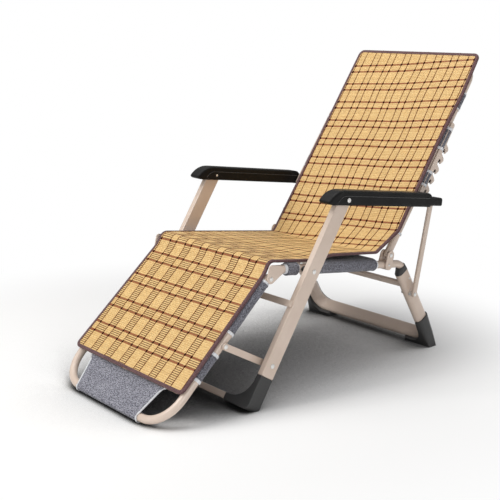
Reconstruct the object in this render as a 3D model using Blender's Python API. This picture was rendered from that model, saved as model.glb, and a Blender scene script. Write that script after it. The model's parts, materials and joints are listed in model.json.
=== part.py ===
"""Folding recliner with a slatted mat: tube seat, hooked back, footrest, folding legs and armrests.

Metres, +Z up. The sitter faces -Y and +X is the sitter's left. The model is drawn with y = 0 near
the crease between seat and back, and moved at the end so that the origin is under its middle.
"""

import bpy
import bmesh
from math import cos, radians, sin, tan
from mathutils import Vector

# Fits
GAP = 0.0003
PIN_R = 0.004
PIN_HOLE_R = 0.0045
CUT_MARGIN = 0.01
SIDES = 16
PIN_SIDES = 12
ARC_STEPS = 6

# Bolts and rivets
NUT_R = 0.0065
NUT_T = 0.003
BOLT_HEAD_R = 0.0075
BOLT_HEAD_T = 0.003
RIVET_HEAD_R = 0.007
RIVET_HEAD_T = 0.0024
RIVET_TAIL_R = 0.0065
RIVET_TAIL_T = 0.0025
WASHER_R = 0.008
SPACER_R = 0.009
LINK_SPACER_R = 0.006

# Round tube of the seat, back and footrest
TUBE_R = 0.0125
FRAME_HALF = 0.260
PLATE_T = 0.004
SLEEVE_WALL = 0.0019
PANEL_T = 0.0012

# Seat
FOLD_PIVOT_Y = -0.349
FOLD_PIVOT_Z = 0.376
SEAT_TILT = -7.8
SEAT_FRONT_AT = 0.114
SEAT_REAR_AT = 0.4597
SEAT_BEND_R = 0.050
SEAT_SLEEVE_R = 0.0195

# Back
BACK_PIVOT_AT = 0.388
BACK_PIVOT_RISE = 0.0316
BRACKET_EAR_R = 0.015
SADDLE_FORWARD = 0.004
SADDLE_REACH = 0.05
BACK_ANGLE = 54.5
BACK_LENGTH = 0.715
BACK_CORNER_R = 0.060

# Hooked plates on the back, and the rod that sits in them
RACK_TOP_AT = 0.497
NOTCH_FIRST_AT = 0.209
NOTCH_PITCH = 0.0386
NOTCH_COUNT = 6
LATCH_ROD_R = 0.005
LATCH_ROD_INSET = 0.001
RACK_STEM_FRONT = -0.006
RACK_TAIL = 0.022
RACK_CORNER = 0.004
HOOK_DEPTH = 0.011
HOOK_LIP = 0.0025

# Footrest
KNEE_PIVOT_AT = 0.1298
KNEE_PIVOT_DROP = 0.0253
KNEE_EAR_R = 0.014
KNEE_BROW_R = 0.011
KNEE_BROW_RISE = 0.030
KNEE_HEEL = 0.020
FOOT_ANGLE = 222.8
FOOT_LENGTH = 0.520
FOOT_CORNER_R = 0.095

# Rear legs
LEG_ANGLE = -58.8
LEG_DEPTH = 0.050
LEG_WIDTH = 0.029
LEG_WALL = 0.0015
LEG_BORE_DEPTH = 0.100
TUBE_IN_LEG = 0.068
LEG_TUBE_OFFSET = 0.0095
LEG_MOUTH_AT = 0.0275
PLUG_FLANGE = 0.003
PLUG_RISE = 0.020
PLUG_LEAN = 0.003
PLUG_WALL = 0.0022
PLUG_STEM = 0.015
PLUG_STEM_CLEAR = 0.003
PLUG_STEM_CORNER = 0.002
REAR_BAR_Z = 0.031
REAR_CORNER_R = 0.045
REAR_CROSSBAR_AT = 0.045
REAR_CROSSBAR_FORWARD = 0.012
REAR_CROSSBAR_DEEP = 0.012
REAR_CROSSBAR_TALL = 0.022
REAR_SHOE_UP = 0.088
REAR_SHOE_IN = 0.078
REAR_SOLE_DEPTH = 0.037
REAR_SOLE_FLARE = 0.013
SHOE_WALL = 0.0045

# Front legs
POST_ANGLE = 57.2
POST_DEPTH = 0.050
POST_THICK = 0.020
POST_CLEARANCE = 0.0202
ARM_PIVOT_AT = 0.2357
LINK_PIVOT_AT = 0.300
POST_BOTTOM_AT = 0.3367
LOWER_BAR_AT = 0.430
LOWER_BAR_TALL = 0.020
LOWER_BAR_DEEP = 0.025
SHOE_REACH = 0.087
SHOE_BOTTOM_AT = 0.443
SHOE_FILLET_R = 0.072
SHOE_HEEL_R = 0.018
SHOE_TOE = 0.016
LOWER_BAR_CORNER_R = 0.004
UPPER_BAR_AT = 0.116
UPPER_BAR_TALL = 0.020
UPPER_BAR_THICK = 0.006
UPPER_BAR_CORNER_R = 0.002
UPPER_BAR_INSET = 0.003

# Armrests, measured from the armrest pivot along and square to the rest
ARM_TILT = -7.9
ARM_CLEARANCE = 0.0074
ARM_WIDTH = 0.0458
ARM_WALL = 0.0025
ARM_TOP = 0.0287
ARM_BOTTOM = -0.0165
ARM_SKIN = 0.0032
ARM_NOSE = 0.0824
ARM_NOSE_DROP = 0.0075
ARM_BROW = 0.058
ARM_CROWN = 0.014
ARM_CHIN = 0.055
ARM_CHIN_BEND = 0.078
ARM_HOLLOW = 0.048
ARM_HOLLOW_SLOPE = 0.020
STRUT_TOP_ALONG = 0.4379
STRUT_BEHIND_BODY = 0.0459
TONGUE_PAST_STRUT = 0.0121
ARM_BODY_END = STRUT_TOP_ALONG - STRUT_BEHIND_BODY
ARM_TONGUE_END = STRUT_TOP_ALONG + TONGUE_PAST_STRUT
ARM_TONGUE_TOP = 0.0148
ARM_TONGUE_BOTTOM = -0.012
ARM_STEP = 0.004
ARM_TIP = 0.008

# Struts between rear legs and armrests
STRUT_TOP_DROP = 0.0030
STRUT_FOOT_DOWN = 0.0821
STRUT_FOOT_FORWARD = 0.0124
STRUT_R = 0.010
STRUT_THICK = 0.009

# Links between front legs and footrest
LINK_FOOT_AT = 0.2385
LINK_R = 0.010
LINK_CLEARANCE = 0.0022

# Slings and mat
MAT_OVERLAP = 0.010
MAT_T = 0.006
SLAT_PITCH = 0.0065
SLAT_GROOVE = 0.0012
SLAT_GROOVE_DEPTH = 0.0022
MAT_CREASE_GAP = 0.050
MAT_TOP_OVERHANG = 0.040
MAT_TOP_DROOP = 0.003
MAT_FOOT_END = 0.420
KNEE_SLIT_HALF = 7.5
KNEE_ROLL_R = 0.050
SLING_INSET = 0.015
SLING_FRONT = -0.092
SLING_REAR_GAP = 0.033
SLING_TAB_INSET = 0.003
SLING_HEM = 0.001
WRAP_OVERLAP = 0.002
BACK_SLING_START = 0.060
BACK_SLING_TOP_GAP = 0.030
BACK_SLING = (BACK_SLING_START, BACK_LENGTH - BACK_SLING_TOP_GAP)
FOOT_SLING = (0.030, 0.385)
BACK_SLEEVES = ((0.100, 0.160), (0.266, 0.304), (0.403, 0.468), (0.553, 0.606))
SEAT_SLEEVES = ((-0.076, -0.026), (0.046, 0.342))
FOOT_SLEEVES = ((0.050, 0.192), (0.278, 0.355))
END_PANEL_INSET = 0.010
END_PANEL_FLARE = 0.023
END_PANEL_TOP_AT = 0.430


def unit(degrees):
    """Unit vector in the side view, 0 degrees towards the rear and 90 up."""
    return Vector((cos(radians(degrees)), sin(radians(degrees))))


def left(v):
    """The vector turned a quarter turn, from rear towards up."""
    return Vector((-v.y, v.x))


# Directions and pivots in the side view, as (y, z)
seat_dir = unit(SEAT_TILT)
seat_up = left(seat_dir)
back_dir = unit(BACK_ANGLE)
back_up = left(back_dir)
foot_dir = unit(FOOT_ANGLE)
foot_up = -left(foot_dir)
leg_dir = unit(LEG_ANGLE)
leg_rear = left(leg_dir)
post_dir = unit(POST_ANGLE)
post_rear = -left(post_dir)
arm_dir = unit(ARM_TILT)
arm_up = left(arm_dir)

fold_pivot = Vector((FOLD_PIVOT_Y, FOLD_PIVOT_Z))
back_pivot = fold_pivot + seat_dir * BACK_PIVOT_AT + seat_up * BACK_PIVOT_RISE
knee_pivot = fold_pivot - seat_dir * KNEE_PIVOT_AT - seat_up * KNEE_PIVOT_DROP
arm_pivot = fold_pivot + post_dir * ARM_PIVOT_AT
link_pivot = fold_pivot - post_dir * LINK_PIVOT_AT
link_foot = knee_pivot + foot_dir * LINK_FOOT_AT
seat_corner = fold_pivot + seat_dir * SEAT_REAR_AT
leg_mouth = seat_corner + leg_dir * LEG_MOUTH_AT - leg_rear * LEG_TUBE_OFFSET
leg_length = (leg_mouth.y - REAR_BAR_Z) / -leg_dir.y
strut_foot = leg_mouth + leg_dir * STRUT_FOOT_DOWN - leg_rear * STRUT_FOOT_FORWARD
strut_top = arm_pivot + arm_dir * STRUT_TOP_ALONG - arm_up * STRUT_TOP_DROP

# Planes across the width
TUBE_OUTER_X = FRAME_HALF + TUBE_R
TUBE_INNER_X = FRAME_HALF - TUBE_R
PLATE_X = TUBE_OUTER_X + GAP
PLATE_OUTER_X = PLATE_X + PLATE_T
INNER_EAR_X = TUBE_INNER_X - GAP - PLATE_T
SLEEVE_R = TUBE_R + GAP + SLEEVE_WALL
RACK_X = FRAME_HALF + SLEEVE_R + GAP
POST_INNER_X = PLATE_OUTER_X + POST_CLEARANCE
POST_OUTER_X = POST_INNER_X + POST_THICK
LOWER_BAR_HALF = POST_INNER_X - SHOE_REACH
ARM_INNER_X = PLATE_OUTER_X + ARM_CLEARANCE
ARM_OUTER_X = ARM_INNER_X + ARM_WIDTH
LEG_OUTER_X = FRAME_HALF + LEG_WIDTH / 2
LEG_INNER_X = FRAME_HALF - LEG_WIDTH / 2
LINK_INNER_X = PLATE_OUTER_X + LINK_CLEARANCE
LINK_OUTER_X = LINK_INNER_X + PLATE_T
STRUT_OUTER_X = POST_INNER_X - 4 * GAP
STRUT_INNER_X = STRUT_OUTER_X - STRUT_THICK
LATCH_ROD_HALF = ARM_INNER_X - LATCH_ROD_INSET
MAT_HALF = FRAME_HALF + MAT_OVERLAP
SLING_HALF = FRAME_HALF - SLING_INSET
END_PANEL_HALF = FRAME_HALF - FOOT_CORNER_R - END_PANEL_INSET
END_PANEL_TOP_HALF = END_PANEL_HALF + END_PANEL_FLARE

# Materials: base colour, metallic, roughness
FINISHES = {
    "cream_paint": ((0.72, 0.60, 0.52), 0.1, 0.35),
    "black_plastic": ((0.030, 0.030, 0.032), 0.0, 0.55),
    "zinc_steel": ((0.70, 0.69, 0.67), 1.0, 0.30),
    "grey_fabric": ((0.20, 0.21, 0.25), 0.0, 0.90),
    "slat_mat": ((0.62, 0.38, 0.13), 0.0, 0.50),
}

for old in list(bpy.data.objects):
    bpy.data.objects.remove(old, do_unlink=True)

materials = {}
for finish, (colour, metallic, roughness) in FINISHES.items():
    material = bpy.data.materials.new(finish)
    material.use_nodes = True
    shader = material.node_tree.nodes["Principled BSDF"]
    shader.inputs["Base Color"].default_value = (*colour, 1.0)
    shader.inputs["Metallic"].default_value = metallic
    shader.inputs["Roughness"].default_value = roughness
    materials[finish] = material

bodies = {}
body_points = {}


def add_body(name, point, parent=None):
    """An empty on the body's joint axis, carried by the body that it turns on."""
    empty = bpy.data.objects.new(name + "_axis", None)
    bpy.context.collection.objects.link(empty)
    origin = Vector((0.0, point.x, point.y))
    empty.location = origin
    if parent:
        empty.parent = bodies[parent]
        empty.location = origin - body_points[parent]
    bodies[name] = empty
    body_points[name] = origin


add_body("seat_frame", Vector((0.0, 0.0)))
add_body("front_legs", fold_pivot, "seat_frame")
add_body("armrests", arm_pivot, "front_legs")
add_body("links", link_pivot, "front_legs")
add_body("struts", strut_foot, "seat_frame")
add_body("back", back_pivot, "seat_frame")
add_body("footrest", knee_pivot, "seat_frame")


# Outlines in a plane
def arc(centre, radius, start, end, steps=ARC_STEPS):
    """Points on an arc, angles in degrees."""
    turn = (end - start) / steps
    return [centre + unit(start + turn * i) * radius for i in range(steps + 1)]


def bend(start, control, end, steps=ARC_STEPS):
    """Points on a quadratic curve."""
    points = []
    for i in range(steps + 1):
        t = i / steps
        points.append(start * (1 - t) ** 2 + control * 2 * t * (1 - t) + end * t * t)
    return points


def hull(circles, steps=24):
    """Outline round a set of circles, given as (centre, radius)."""
    points = [c + unit(360 * i / steps) * r for c, r in circles for i in range(steps)]
    points = sorted({(round(p.x, 7), round(p.y, 7)) for p in points})

    def chain(ordered):
        line = []
        for p in ordered:
            while len(line) > 1:
                (ax, ay), (bx, by) = line[-2], line[-1]
                if (bx - ax) * (p[1] - ay) - (by - ay) * (p[0] - ax) > 1e-10:
                    break
                line.pop()
            line.append(p)
        return line[:-1]

    return [Vector(p) for p in chain(points) + chain(points[::-1])]


def oval(length, width, steps=SIDES):
    """Stadium outline, long in its first coordinate."""
    reach = Vector(((length - width) / 2, 0.0))
    half = steps // 2
    return arc(reach, width / 2, -90, 90, half) + arc(-reach, width / 2, 90, 270, half)


def rounded_box(length, width, radius, steps=3):
    """Rectangle outline with round corners, centred."""
    x = length / 2 - radius
    y = width / 2 - radius
    points = []
    for i, corner in enumerate((Vector((x, y)), Vector((-x, y)), Vector((-x, -y)), Vector((x, -y)))):
        points += arc(corner, radius, 90 * i, 90 * i + 90, steps)
    return points


def circle(radius, steps=SIDES):
    """Round outline."""
    return [unit(360 * i / steps) * radius for i in range(steps)]


def ribbon(line, thickness):
    """Outline of a strip of even thickness on one side of a line, the side being its left."""
    offset = []
    for i, point in enumerate(line):
        ahead = line[min(i + 1, len(line) - 1)]
        behind = line[max(i - 1, 0)]
        offset.append(point + left((ahead - behind).normalized()) * thickness)
    return list(line) + offset[::-1]


# Solids
def new_solid():
    return bmesh.new()


def add_rings(bm, rings, closed=False):
    """Skin a list of rings of points, with end caps unless they close on themselves."""
    loops = [[bm.verts.new(p) for p in ring] for ring in rings]
    count = len(loops[0])
    pairs = list(zip(loops, loops[1:]))
    if closed:
        pairs.append((loops[-1], loops[0]))
    for a, b in pairs:
        for i in range(count):
            j = (i + 1) % count
            bm.faces.new((a[i], a[j], b[j], b[i]))
    if not closed:
        bm.faces.new(loops[0][::-1])
        bm.faces.new(loops[-1])
    bmesh.ops.recalc_face_normals(bm, faces=bm.faces)
    return bm


def prism(outline, x0, x1, bm=None):
    """Side-view outline pushed through from x0 to x1."""
    rings = [[Vector((x, p.x, p.y)) for p in outline] for x in (x0, x1)]
    return add_rings(bm or new_solid(), rings)


def turned(profile, centre, bm=None, steps=PIN_SIDES):
    """Round piece on an axis along X through a side-view point, from (x, radius) pairs."""
    rings = []
    for x, radius in profile:
        rings.append([Vector((x, centre.x + p.x, centre.y + p.y)) for p in circle(radius, steps)])
    return add_rings(bm or new_solid(), rings)


def drilled(centre, x0, x1, bm=None):
    """Pin hole along X from face to face, as a cutter that reaches past both."""
    margin = CUT_MARGIN if x1 > x0 else -CUT_MARGIN
    return turned([(x0 - margin, PIN_HOLE_R), (x1 + margin, PIN_HOLE_R)], centre, bm)


def nut(x):
    """Profile of a nut or bolt end whose inner face is at x."""
    return [(x - NUT_T, NUT_R), (x, NUT_R), (x, PIN_R)]


def rivet_tail(x):
    """Profile of a spread rivet end whose inner face is at x."""
    return [(x - RIVET_TAIL_T, PIN_R), (x - RIVET_TAIL_T / 2, RIVET_TAIL_R), (x, RIVET_TAIL_R), (x, PIN_R)]


def washer(start, end):
    """Profile of a spacer ring on a pin."""
    return [(start, PIN_R), (start, WASHER_R), (end, WASHER_R), (end, PIN_R)]


def bolt_head(x):
    """Profile of a domed bolt head on a face at x."""
    rim = 0.95 * BOLT_HEAD_R
    return [(x, PIN_R), (x, BOLT_HEAD_R), (x + BOLT_HEAD_T / 2, rim), (x + BOLT_HEAD_T, PIN_R)]


def rivet_head(x):
    """Profile of a flat rivet head on a face at x."""
    rim = 0.95 * RIVET_HEAD_R
    return [(x, PIN_R), (x, RIVET_HEAD_R), (x + RIVET_HEAD_T / 2, rim), (x + RIVET_HEAD_T, PIN_R)]


def swept(section, path, across, bm=None, scales=None):
    """Section carried along a path that lies in the plane square to across.

    The section's first coordinate runs along across and its second to the path's left.
    """
    rings = []
    for i, point in enumerate(path):
        ahead = path[min(i + 1, len(path) - 1)]
        behind = path[max(i - 1, 0)]
        side = across.cross((ahead - behind).normalized())
        scale = scales[i] if scales else 1.0
        rings.append([point + (across * p.x + side * p.y) * scale for p in section])
    return add_rings(bm or new_solid(), rings)


def hulled(points):
    """Convex solid round a set of points."""
    bm = new_solid()
    verts = [bm.verts.new(p) for p in points]
    bmesh.ops.convex_hull(bm, input=verts)
    loose = [v for v in bm.verts if not v.link_faces]
    bmesh.ops.delete(bm, geom=loose, context="VERTS")
    return bm


def rounded_path(corners, radius, steps=8):
    """Polyline through three-dimensional corners, each inner corner turned into an arc."""
    path = [corners[0]]
    for before, corner, after in zip(corners, corners[1:], corners[2:]):
        inward = (before - corner).normalized()
        outward = (after - corner).normalized()
        half = inward.angle(outward) / 2
        reach = radius / tan(half)
        middle = corner + (inward + outward).normalized() * (radius / sin(half))
        start = corner + inward * reach - middle
        end = corner + outward * reach - middle
        full = start.angle(end)
        for i in range(steps + 1):
            a = full * i / steps
            path.append(middle + (start * sin(full - a) + end * sin(a)) / sin(full))
    path.append(corners[-1])
    return path


def dome_start(path, radius, steps=3):
    """A round nose before the first point of a path, as extra points and their scales."""
    back = (path[0] - path[1]).normalized()
    points = []
    scales = []
    for i in range(steps, 0, -1):
        angle = radians(84 * i / steps)
        points.append(path[0] + back * (radius * sin(angle)))
        scales.append(cos(angle))
    return points, scales


def at(x, point):
    """Side-view point placed at x."""
    return Vector((x, point.x, point.y))


def ring_sleeve(r_in, r_out, start, end, across, bm):
    """Open sleeve round a straight stretch of tube."""
    along = (end - start).normalized()
    side = across.cross(along)
    loops = []
    for centre, radius in ((start, r_out), (end, r_out), (end, r_in), (start, r_in)):
        loops.append([centre + (across * p.x + side * p.y) * radius for p in circle(1.0)])
    return add_rings(bm, loops, closed=True)


def mirrored(bm):
    """The same solid on the other side."""
    other = bm.copy()
    for vert in other.verts:
        vert.co.x = -vert.co.x
    bmesh.ops.reverse_faces(other, faces=other.faces)
    return other


def to_object(name, bm, body):
    """Mesh object carried by its body's empty, its origin on the body's axis."""
    mesh = bpy.data.meshes.new(name)
    bmesh.ops.translate(bm, verts=bm.verts, vec=-body_points[body])
    bm.to_mesh(mesh)
    bm.free()
    thing = bpy.data.objects.new(name, mesh)
    bpy.context.collection.objects.link(thing)
    thing.parent = bodies[body]
    return thing


def combine(thing, name, bm, body, operation):
    """Boolean with a hidden wire helper."""
    helper = to_object(name, bm, body)
    helper.hide_render = True
    helper.display_type = "WIRE"
    boolean = thing.modifiers.new(operation.lower(), "BOOLEAN")
    boolean.operation = operation
    boolean.solver = "EXACT"
    boolean.object = helper


def piece(name, body, finish, bm, cuts=(), joins=(), soften=0.0):
    """One named part: base solid, softened edges, joined solids, then cuts."""
    thing = to_object(name, bm, body)
    thing.data.materials.append(materials[finish])
    thing.data.shade_smooth()
    thing.data.set_sharp_from_angle(angle=radians(40))
    if soften:
        bevel = thing.modifiers.new("soften", "BEVEL")
        bevel.width = soften
        bevel.segments = 2
        bevel.limit_method = "ANGLE"
        bevel.angle_limit = radians(50)
    for i, solid in enumerate(joins):
        combine(thing, f"{name}.join{i}", solid, body, "UNION")
    for i, solid in enumerate(cuts):
        combine(thing, f"{name}.cut{i}", solid, body, "DIFFERENCE")
    return thing


def pair(name, body, finish, bm, cuts=(), joins=(), soften=0.0):
    """A part on the sitter's left and its mirror image on the right."""
    piece(name + "_r", body, finish, mirrored(bm), [mirrored(c) for c in cuts],
          [mirrored(j) for j in joins], soften)
    piece(name + "_l", body, finish, bm, cuts, joins, soften)


ACROSS = Vector((1.0, 0.0, 0.0))


# Seat frame
def seat_path():
    """Line of the seat tube, from the knee plate to inside the rear leg."""
    front = fold_pivot - seat_dir * SEAT_FRONT_AT
    end = seat_corner + leg_dir * (LEG_MOUTH_AT + TUBE_IN_LEG)
    return rounded_path([at(FRAME_HALF, p) for p in (front, seat_corner, end)], SEAT_BEND_R)


def seat_tubes():
    """Tube along each side of the seat, bent down into the rear leg."""
    tube = swept(circle(TUBE_R), seat_path(), ACROSS)
    holes = drilled(fold_pivot, TUBE_INNER_X, TUBE_OUTER_X)
    pair("seat_tube", "seat_frame", "cream_paint", tube, cuts=[holes])


def knee_plates():
    """Plate on the front end of each seat tube, carrying the footrest's pin."""
    brow = knee_pivot + seat_up * KNEE_BROW_RISE
    heel = fold_pivot - seat_dir * (SEAT_FRONT_AT - KNEE_HEEL)
    outline = hull([(knee_pivot, KNEE_EAR_R), (brow, KNEE_BROW_R), (heel, TUBE_R)])
    plate = prism(outline, PLATE_X, PLATE_OUTER_X)
    holes = drilled(knee_pivot, PLATE_X, PLATE_OUTER_X)
    pair("knee_plate", "seat_frame", "cream_paint", plate, cuts=[holes])


def back_brackets():
    """Saddle round each seat tube, with two ears for the foot of the back tube."""
    saddle = fold_pivot + seat_dir * (BACK_PIVOT_AT - SADDLE_FORWARD)
    outline = hull([(back_pivot, BRACKET_EAR_R), (saddle, TUBE_R + GAP + PLATE_T)])
    bracket = prism(outline, INNER_EAR_X, PLATE_OUTER_X)
    reach = seat_dir * SADDLE_REACH
    bore = swept(circle(TUBE_R + GAP), [at(FRAME_HALF, saddle - reach), at(FRAME_HALF, saddle + reach)], ACROSS)
    top = seat_up * (BACK_PIVOT_RISE + SADDLE_REACH)
    slot_outline = [saddle - reach, saddle + reach, saddle + reach + top, saddle - reach + top]
    slot = prism(slot_outline, TUBE_INNER_X - GAP, TUBE_OUTER_X + GAP)
    holes = drilled(back_pivot, INNER_EAR_X, PLATE_OUTER_X)
    pair("back_bracket", "seat_frame", "cream_paint", bracket, cuts=[bore, slot, holes])


def leg_path(reach_up, reach_in, radius=REAR_CORNER_R):
    """Line of the rear leg's bend on one side, from up the leg to in along the floor bar."""
    corner = at(FRAME_HALF, leg_mouth + leg_dir * leg_length)
    top = corner - at(0.0, leg_dir) * reach_up
    inner = corner - ACROSS * reach_in
    return rounded_path([top, corner, inner], radius)


def rear_leg_hoop():
    """Flat-oval tube bent into a U: two legs and the bar between them near the floor."""
    half = leg_path(leg_length, FRAME_HALF)
    other = [Vector((-p.x, p.y, p.z)) for p in half[-2::-1]]
    across = at(0.0, leg_rear)
    hoop = swept(oval(LEG_DEPTH, LEG_WIDTH), half + other, across)
    bores = new_solid()
    for side in (1, -1):
        mouth = at(side * FRAME_HALF, leg_mouth)
        ends = [mouth - at(0.0, leg_dir) * CUT_MARGIN, mouth + at(0.0, leg_dir) * LEG_BORE_DEPTH]
        swept(oval(LEG_DEPTH - 2 * LEG_WALL, LEG_WIDTH - 2 * LEG_WALL), ends, across, bores)
    holes = new_solid()
    for side in (1, -1):
        drilled(strut_foot, side * LEG_INNER_X, side * LEG_OUTER_X, holes)
    piece("rear_leg_hoop", "seat_frame", "cream_paint", hoop, cuts=[bores, holes])


def leg_plugs():
    """Plastic plug in the mouth of each rear leg, rising in a wedge to the seat tube."""
    across = at(0.0, leg_rear)
    down = at(0.0, leg_dir)
    mouth = at(FRAME_HALF, leg_mouth) - down * GAP
    tube_line = mouth + across * LEG_TUBE_OFFSET
    top_width = 2 * (TUBE_R + GAP + PLUG_WALL)
    rings = []
    for up, centre, section in ((0.0, mouth, oval(LEG_DEPTH, LEG_WIDTH)),
                                (PLUG_FLANGE, mouth, oval(LEG_DEPTH, LEG_WIDTH)),
                                (PLUG_RISE, tube_line - across * PLUG_LEAN, oval(top_width + PLUG_WALL, top_width))):
        rings.append([centre - down * up + across * p.x + ACROSS * p.y for p in section])
    wedge = add_rings(new_solid(), rings)
    bore = swept(circle(TUBE_R + GAP), seat_path(), ACROSS)
    front = -(LEG_DEPTH - LEG_WIDTH) / 2
    stem_width = LEG_WIDTH - 2 * LEG_WALL - 4 * GAP
    stem_end = LEG_TUBE_OFFSET - TUBE_R - PLUG_STEM_CLEAR
    stem_flat = stem_width / 2 - PLUG_STEM_CORNER
    stem = [Vector((stem_end, -stem_flat)), Vector((stem_end, stem_flat))]
    stem += arc(Vector((front, 0.0)), stem_width / 2, 90, 270, 8)
    plug = swept(stem, [mouth - down * PLUG_FLANGE / 2, mouth + down * PLUG_STEM], across)
    pair("leg_plug", "seat_frame", "black_plastic", wedge, joins=[plug], cuts=[bore])


def rear_shoes():
    """Moulded shoe round the outer half of each floor corner, widening to a flat sole."""
    across = at(0.0, leg_rear)
    down = at(0.0, leg_dir)
    wrap = 2 * (GAP + SHOE_WALL)
    around = oval(LEG_DEPTH + wrap, LEG_WIDTH + wrap)
    bar = leg_mouth + leg_dir * leg_length
    top = at(FRAME_HALF, bar - leg_dir * REAR_SHOE_UP)
    x_in = FRAME_HALF - REAR_SHOE_IN
    points = [top + across * p.x + ACROSS * p.y for p in around]
    for x in (x_in, FRAME_HALF):
        points += [at(x, bar) + across * p.x + down * p.y for p in around if p.y > 0]
    lowest = bar - leg_rear * (LEG_DEPTH - LEG_WIDTH) / 2
    for x in (x_in, LEG_OUTER_X + SHOE_WALL + REAR_SOLE_FLARE):
        for side in (-1, 1):
            points.append(Vector((x, lowest.x + side * REAR_SOLE_DEPTH / 2, 0.0)))
    shoe = hulled(points)
    line = leg_path(REAR_SHOE_UP + 2 * CUT_MARGIN, REAR_SHOE_IN + 2 * CUT_MARGIN)
    core = swept(oval(LEG_DEPTH + 2 * GAP, LEG_WIDTH + 2 * GAP), line, across)
    line.append(line[0] - ACROSS * (REAR_SHOE_IN + 2 * CUT_MARGIN))
    inside = add_rings(new_solid(), [[p + across * side * LEG_DEPTH for p in line] for side in (-1, 1)])
    pair("rear_shoe", "seat_frame", "black_plastic", shoe, cuts=[core, inside])


def rear_crossbar():
    """Bar between the rear legs below their mouths."""
    centre = leg_mouth + leg_dir * REAR_CROSSBAR_AT - leg_rear * REAR_CROSSBAR_FORWARD
    half = LEG_INNER_X - GAP
    section = rounded_box(REAR_CROSSBAR_DEEP, REAR_CROSSBAR_TALL, REAR_CROSSBAR_DEEP / 4)
    side = [centre + leg_rear * p.x + leg_dir * p.y for p in section]
    piece("rear_crossbar", "seat_frame", "cream_paint", prism(side, -half, half))


# Front legs
def front_posts():
    """Flat post each side, from the shoe up to the armrest pivot."""
    half = POST_DEPTH / 2
    foot = fold_pivot - post_dir * (POST_BOTTOM_AT - GAP)
    outline = [foot - post_rear * half, foot + post_rear * half]
    outline += arc(arm_pivot, half, POST_ANGLE - 90, POST_ANGLE + 90, 10)
    post = prism(outline, POST_INNER_X, POST_OUTER_X)
    holes = new_solid()
    for pivot in (fold_pivot, arm_pivot, link_pivot):
        drilled(pivot, POST_INNER_X, POST_OUTER_X, holes)
    pair("front_post", "front_legs", "cream_paint", post, cuts=[holes], soften=0.0025)


def front_plane(x, along, rear):
    """Point in the plane of the front legs: along the post from the fold pivot, and behind its middle."""
    return at(x, fold_pivot + post_dir * along + post_rear * rear)


def front_shoes():
    """Moulded elbow from each post to the lower bar, with a large inner fillet and a flat sole."""
    x_in = POST_INNER_X
    x_out = POST_OUTER_X
    bar_top = -LOWER_BAR_AT + LOWER_BAR_TALL / 2
    bar_low = -LOWER_BAR_AT - LOWER_BAR_TALL / 2
    fillet = Vector((x_in - SHOE_FILLET_R, bar_top + SHOE_FILLET_R))
    heel = Vector((x_out - SHOE_HEEL_R, -SHOE_BOTTOM_AT + SHOE_HEEL_R))
    outline = [Vector((x_in, -POST_BOTTOM_AT)), Vector((x_out, -POST_BOTTOM_AT))]
    outline += arc(heel, SHOE_HEEL_R, 0, -90, 5)
    outline += [Vector((LOWER_BAR_HALF + SHOE_TOE, -SHOE_BOTTOM_AT)), Vector((LOWER_BAR_HALF, bar_low))]
    outline += [Vector((LOWER_BAR_HALF, bar_top))]
    outline += arc(fillet, SHOE_FILLET_R, -90, 0, 9)
    half = POST_DEPTH / 2
    rings = [[front_plane(p.x, p.y, w) for p in outline] for w in (-half, half)]
    shoe = add_rings(new_solid(), rings)
    y = fold_pivot.x - post_dir.x * SHOE_BOTTOM_AT
    floor = [Vector((y - POST_DEPTH, -POST_DEPTH)), Vector((y + POST_DEPTH, -POST_DEPTH)),
             Vector((y + POST_DEPTH, 0.0)), Vector((y - POST_DEPTH, 0.0))]
    under = prism(floor, LOWER_BAR_HALF - POST_THICK, POST_OUTER_X + POST_THICK)
    pair("front_shoe", "front_legs", "black_plastic", shoe, cuts=[under], soften=0.002)


def front_bars():
    """Lower bar between the shoes, and the flat bar on the front of the posts."""
    front = POST_DEPTH / 2
    across = at(0.0, post_rear)
    up = at(0.0, post_dir)
    centre = front_plane(0.0, -LOWER_BAR_AT, -front + LOWER_BAR_DEEP / 2)
    section = [across * p.x + up * p.y for p in rounded_box(LOWER_BAR_DEEP, LOWER_BAR_TALL, LOWER_BAR_CORNER_R)]
    half = LOWER_BAR_HALF - GAP
    rings = [[centre + ACROSS * x + p for p in section] for x in (-half, half)]
    piece("front_lower_bar", "front_legs", "cream_paint", add_rings(new_solid(), rings))
    centre = front_plane(0.0, -UPPER_BAR_AT, -front - GAP - UPPER_BAR_THICK / 2)
    section = [across * p.x + up * p.y for p in rounded_box(UPPER_BAR_THICK, UPPER_BAR_TALL, UPPER_BAR_CORNER_R)]
    half = POST_OUTER_X - UPPER_BAR_INSET
    rings = [[centre + ACROSS * x + p for p in section] for x in (-half, half)]
    piece("front_upper_bar", "front_legs", "cream_paint", add_rings(new_solid(), rings))


def front_pins():
    """Bolts of the front legs: the fold bolt through the seat tube, and the link bolt."""
    head = bolt_head(POST_OUTER_X + GAP)
    pair("fold_bolt", "front_legs", "zinc_steel", turned(nut(TUBE_INNER_X - GAP) + head, fold_pivot))
    spacer = turned([(PLATE_X, SPACER_R), (POST_INNER_X - GAP, SPACER_R)], fold_pivot)
    bore = drilled(fold_pivot, PLATE_X, POST_INNER_X)
    pair("fold_spacer", "front_legs", "black_plastic", spacer, cuts=[bore])
    shoulder = washer(LINK_OUTER_X + GAP, POST_INNER_X - GAP)
    link_bolt = turned(rivet_tail(LINK_INNER_X - GAP) + shoulder + head, link_pivot)
    pair("link_bolt", "front_legs", "zinc_steel", link_bolt)


# Armrests and struts
def arm_point(along, up):
    return arm_pivot + arm_dir * along + arm_up * up


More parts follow.
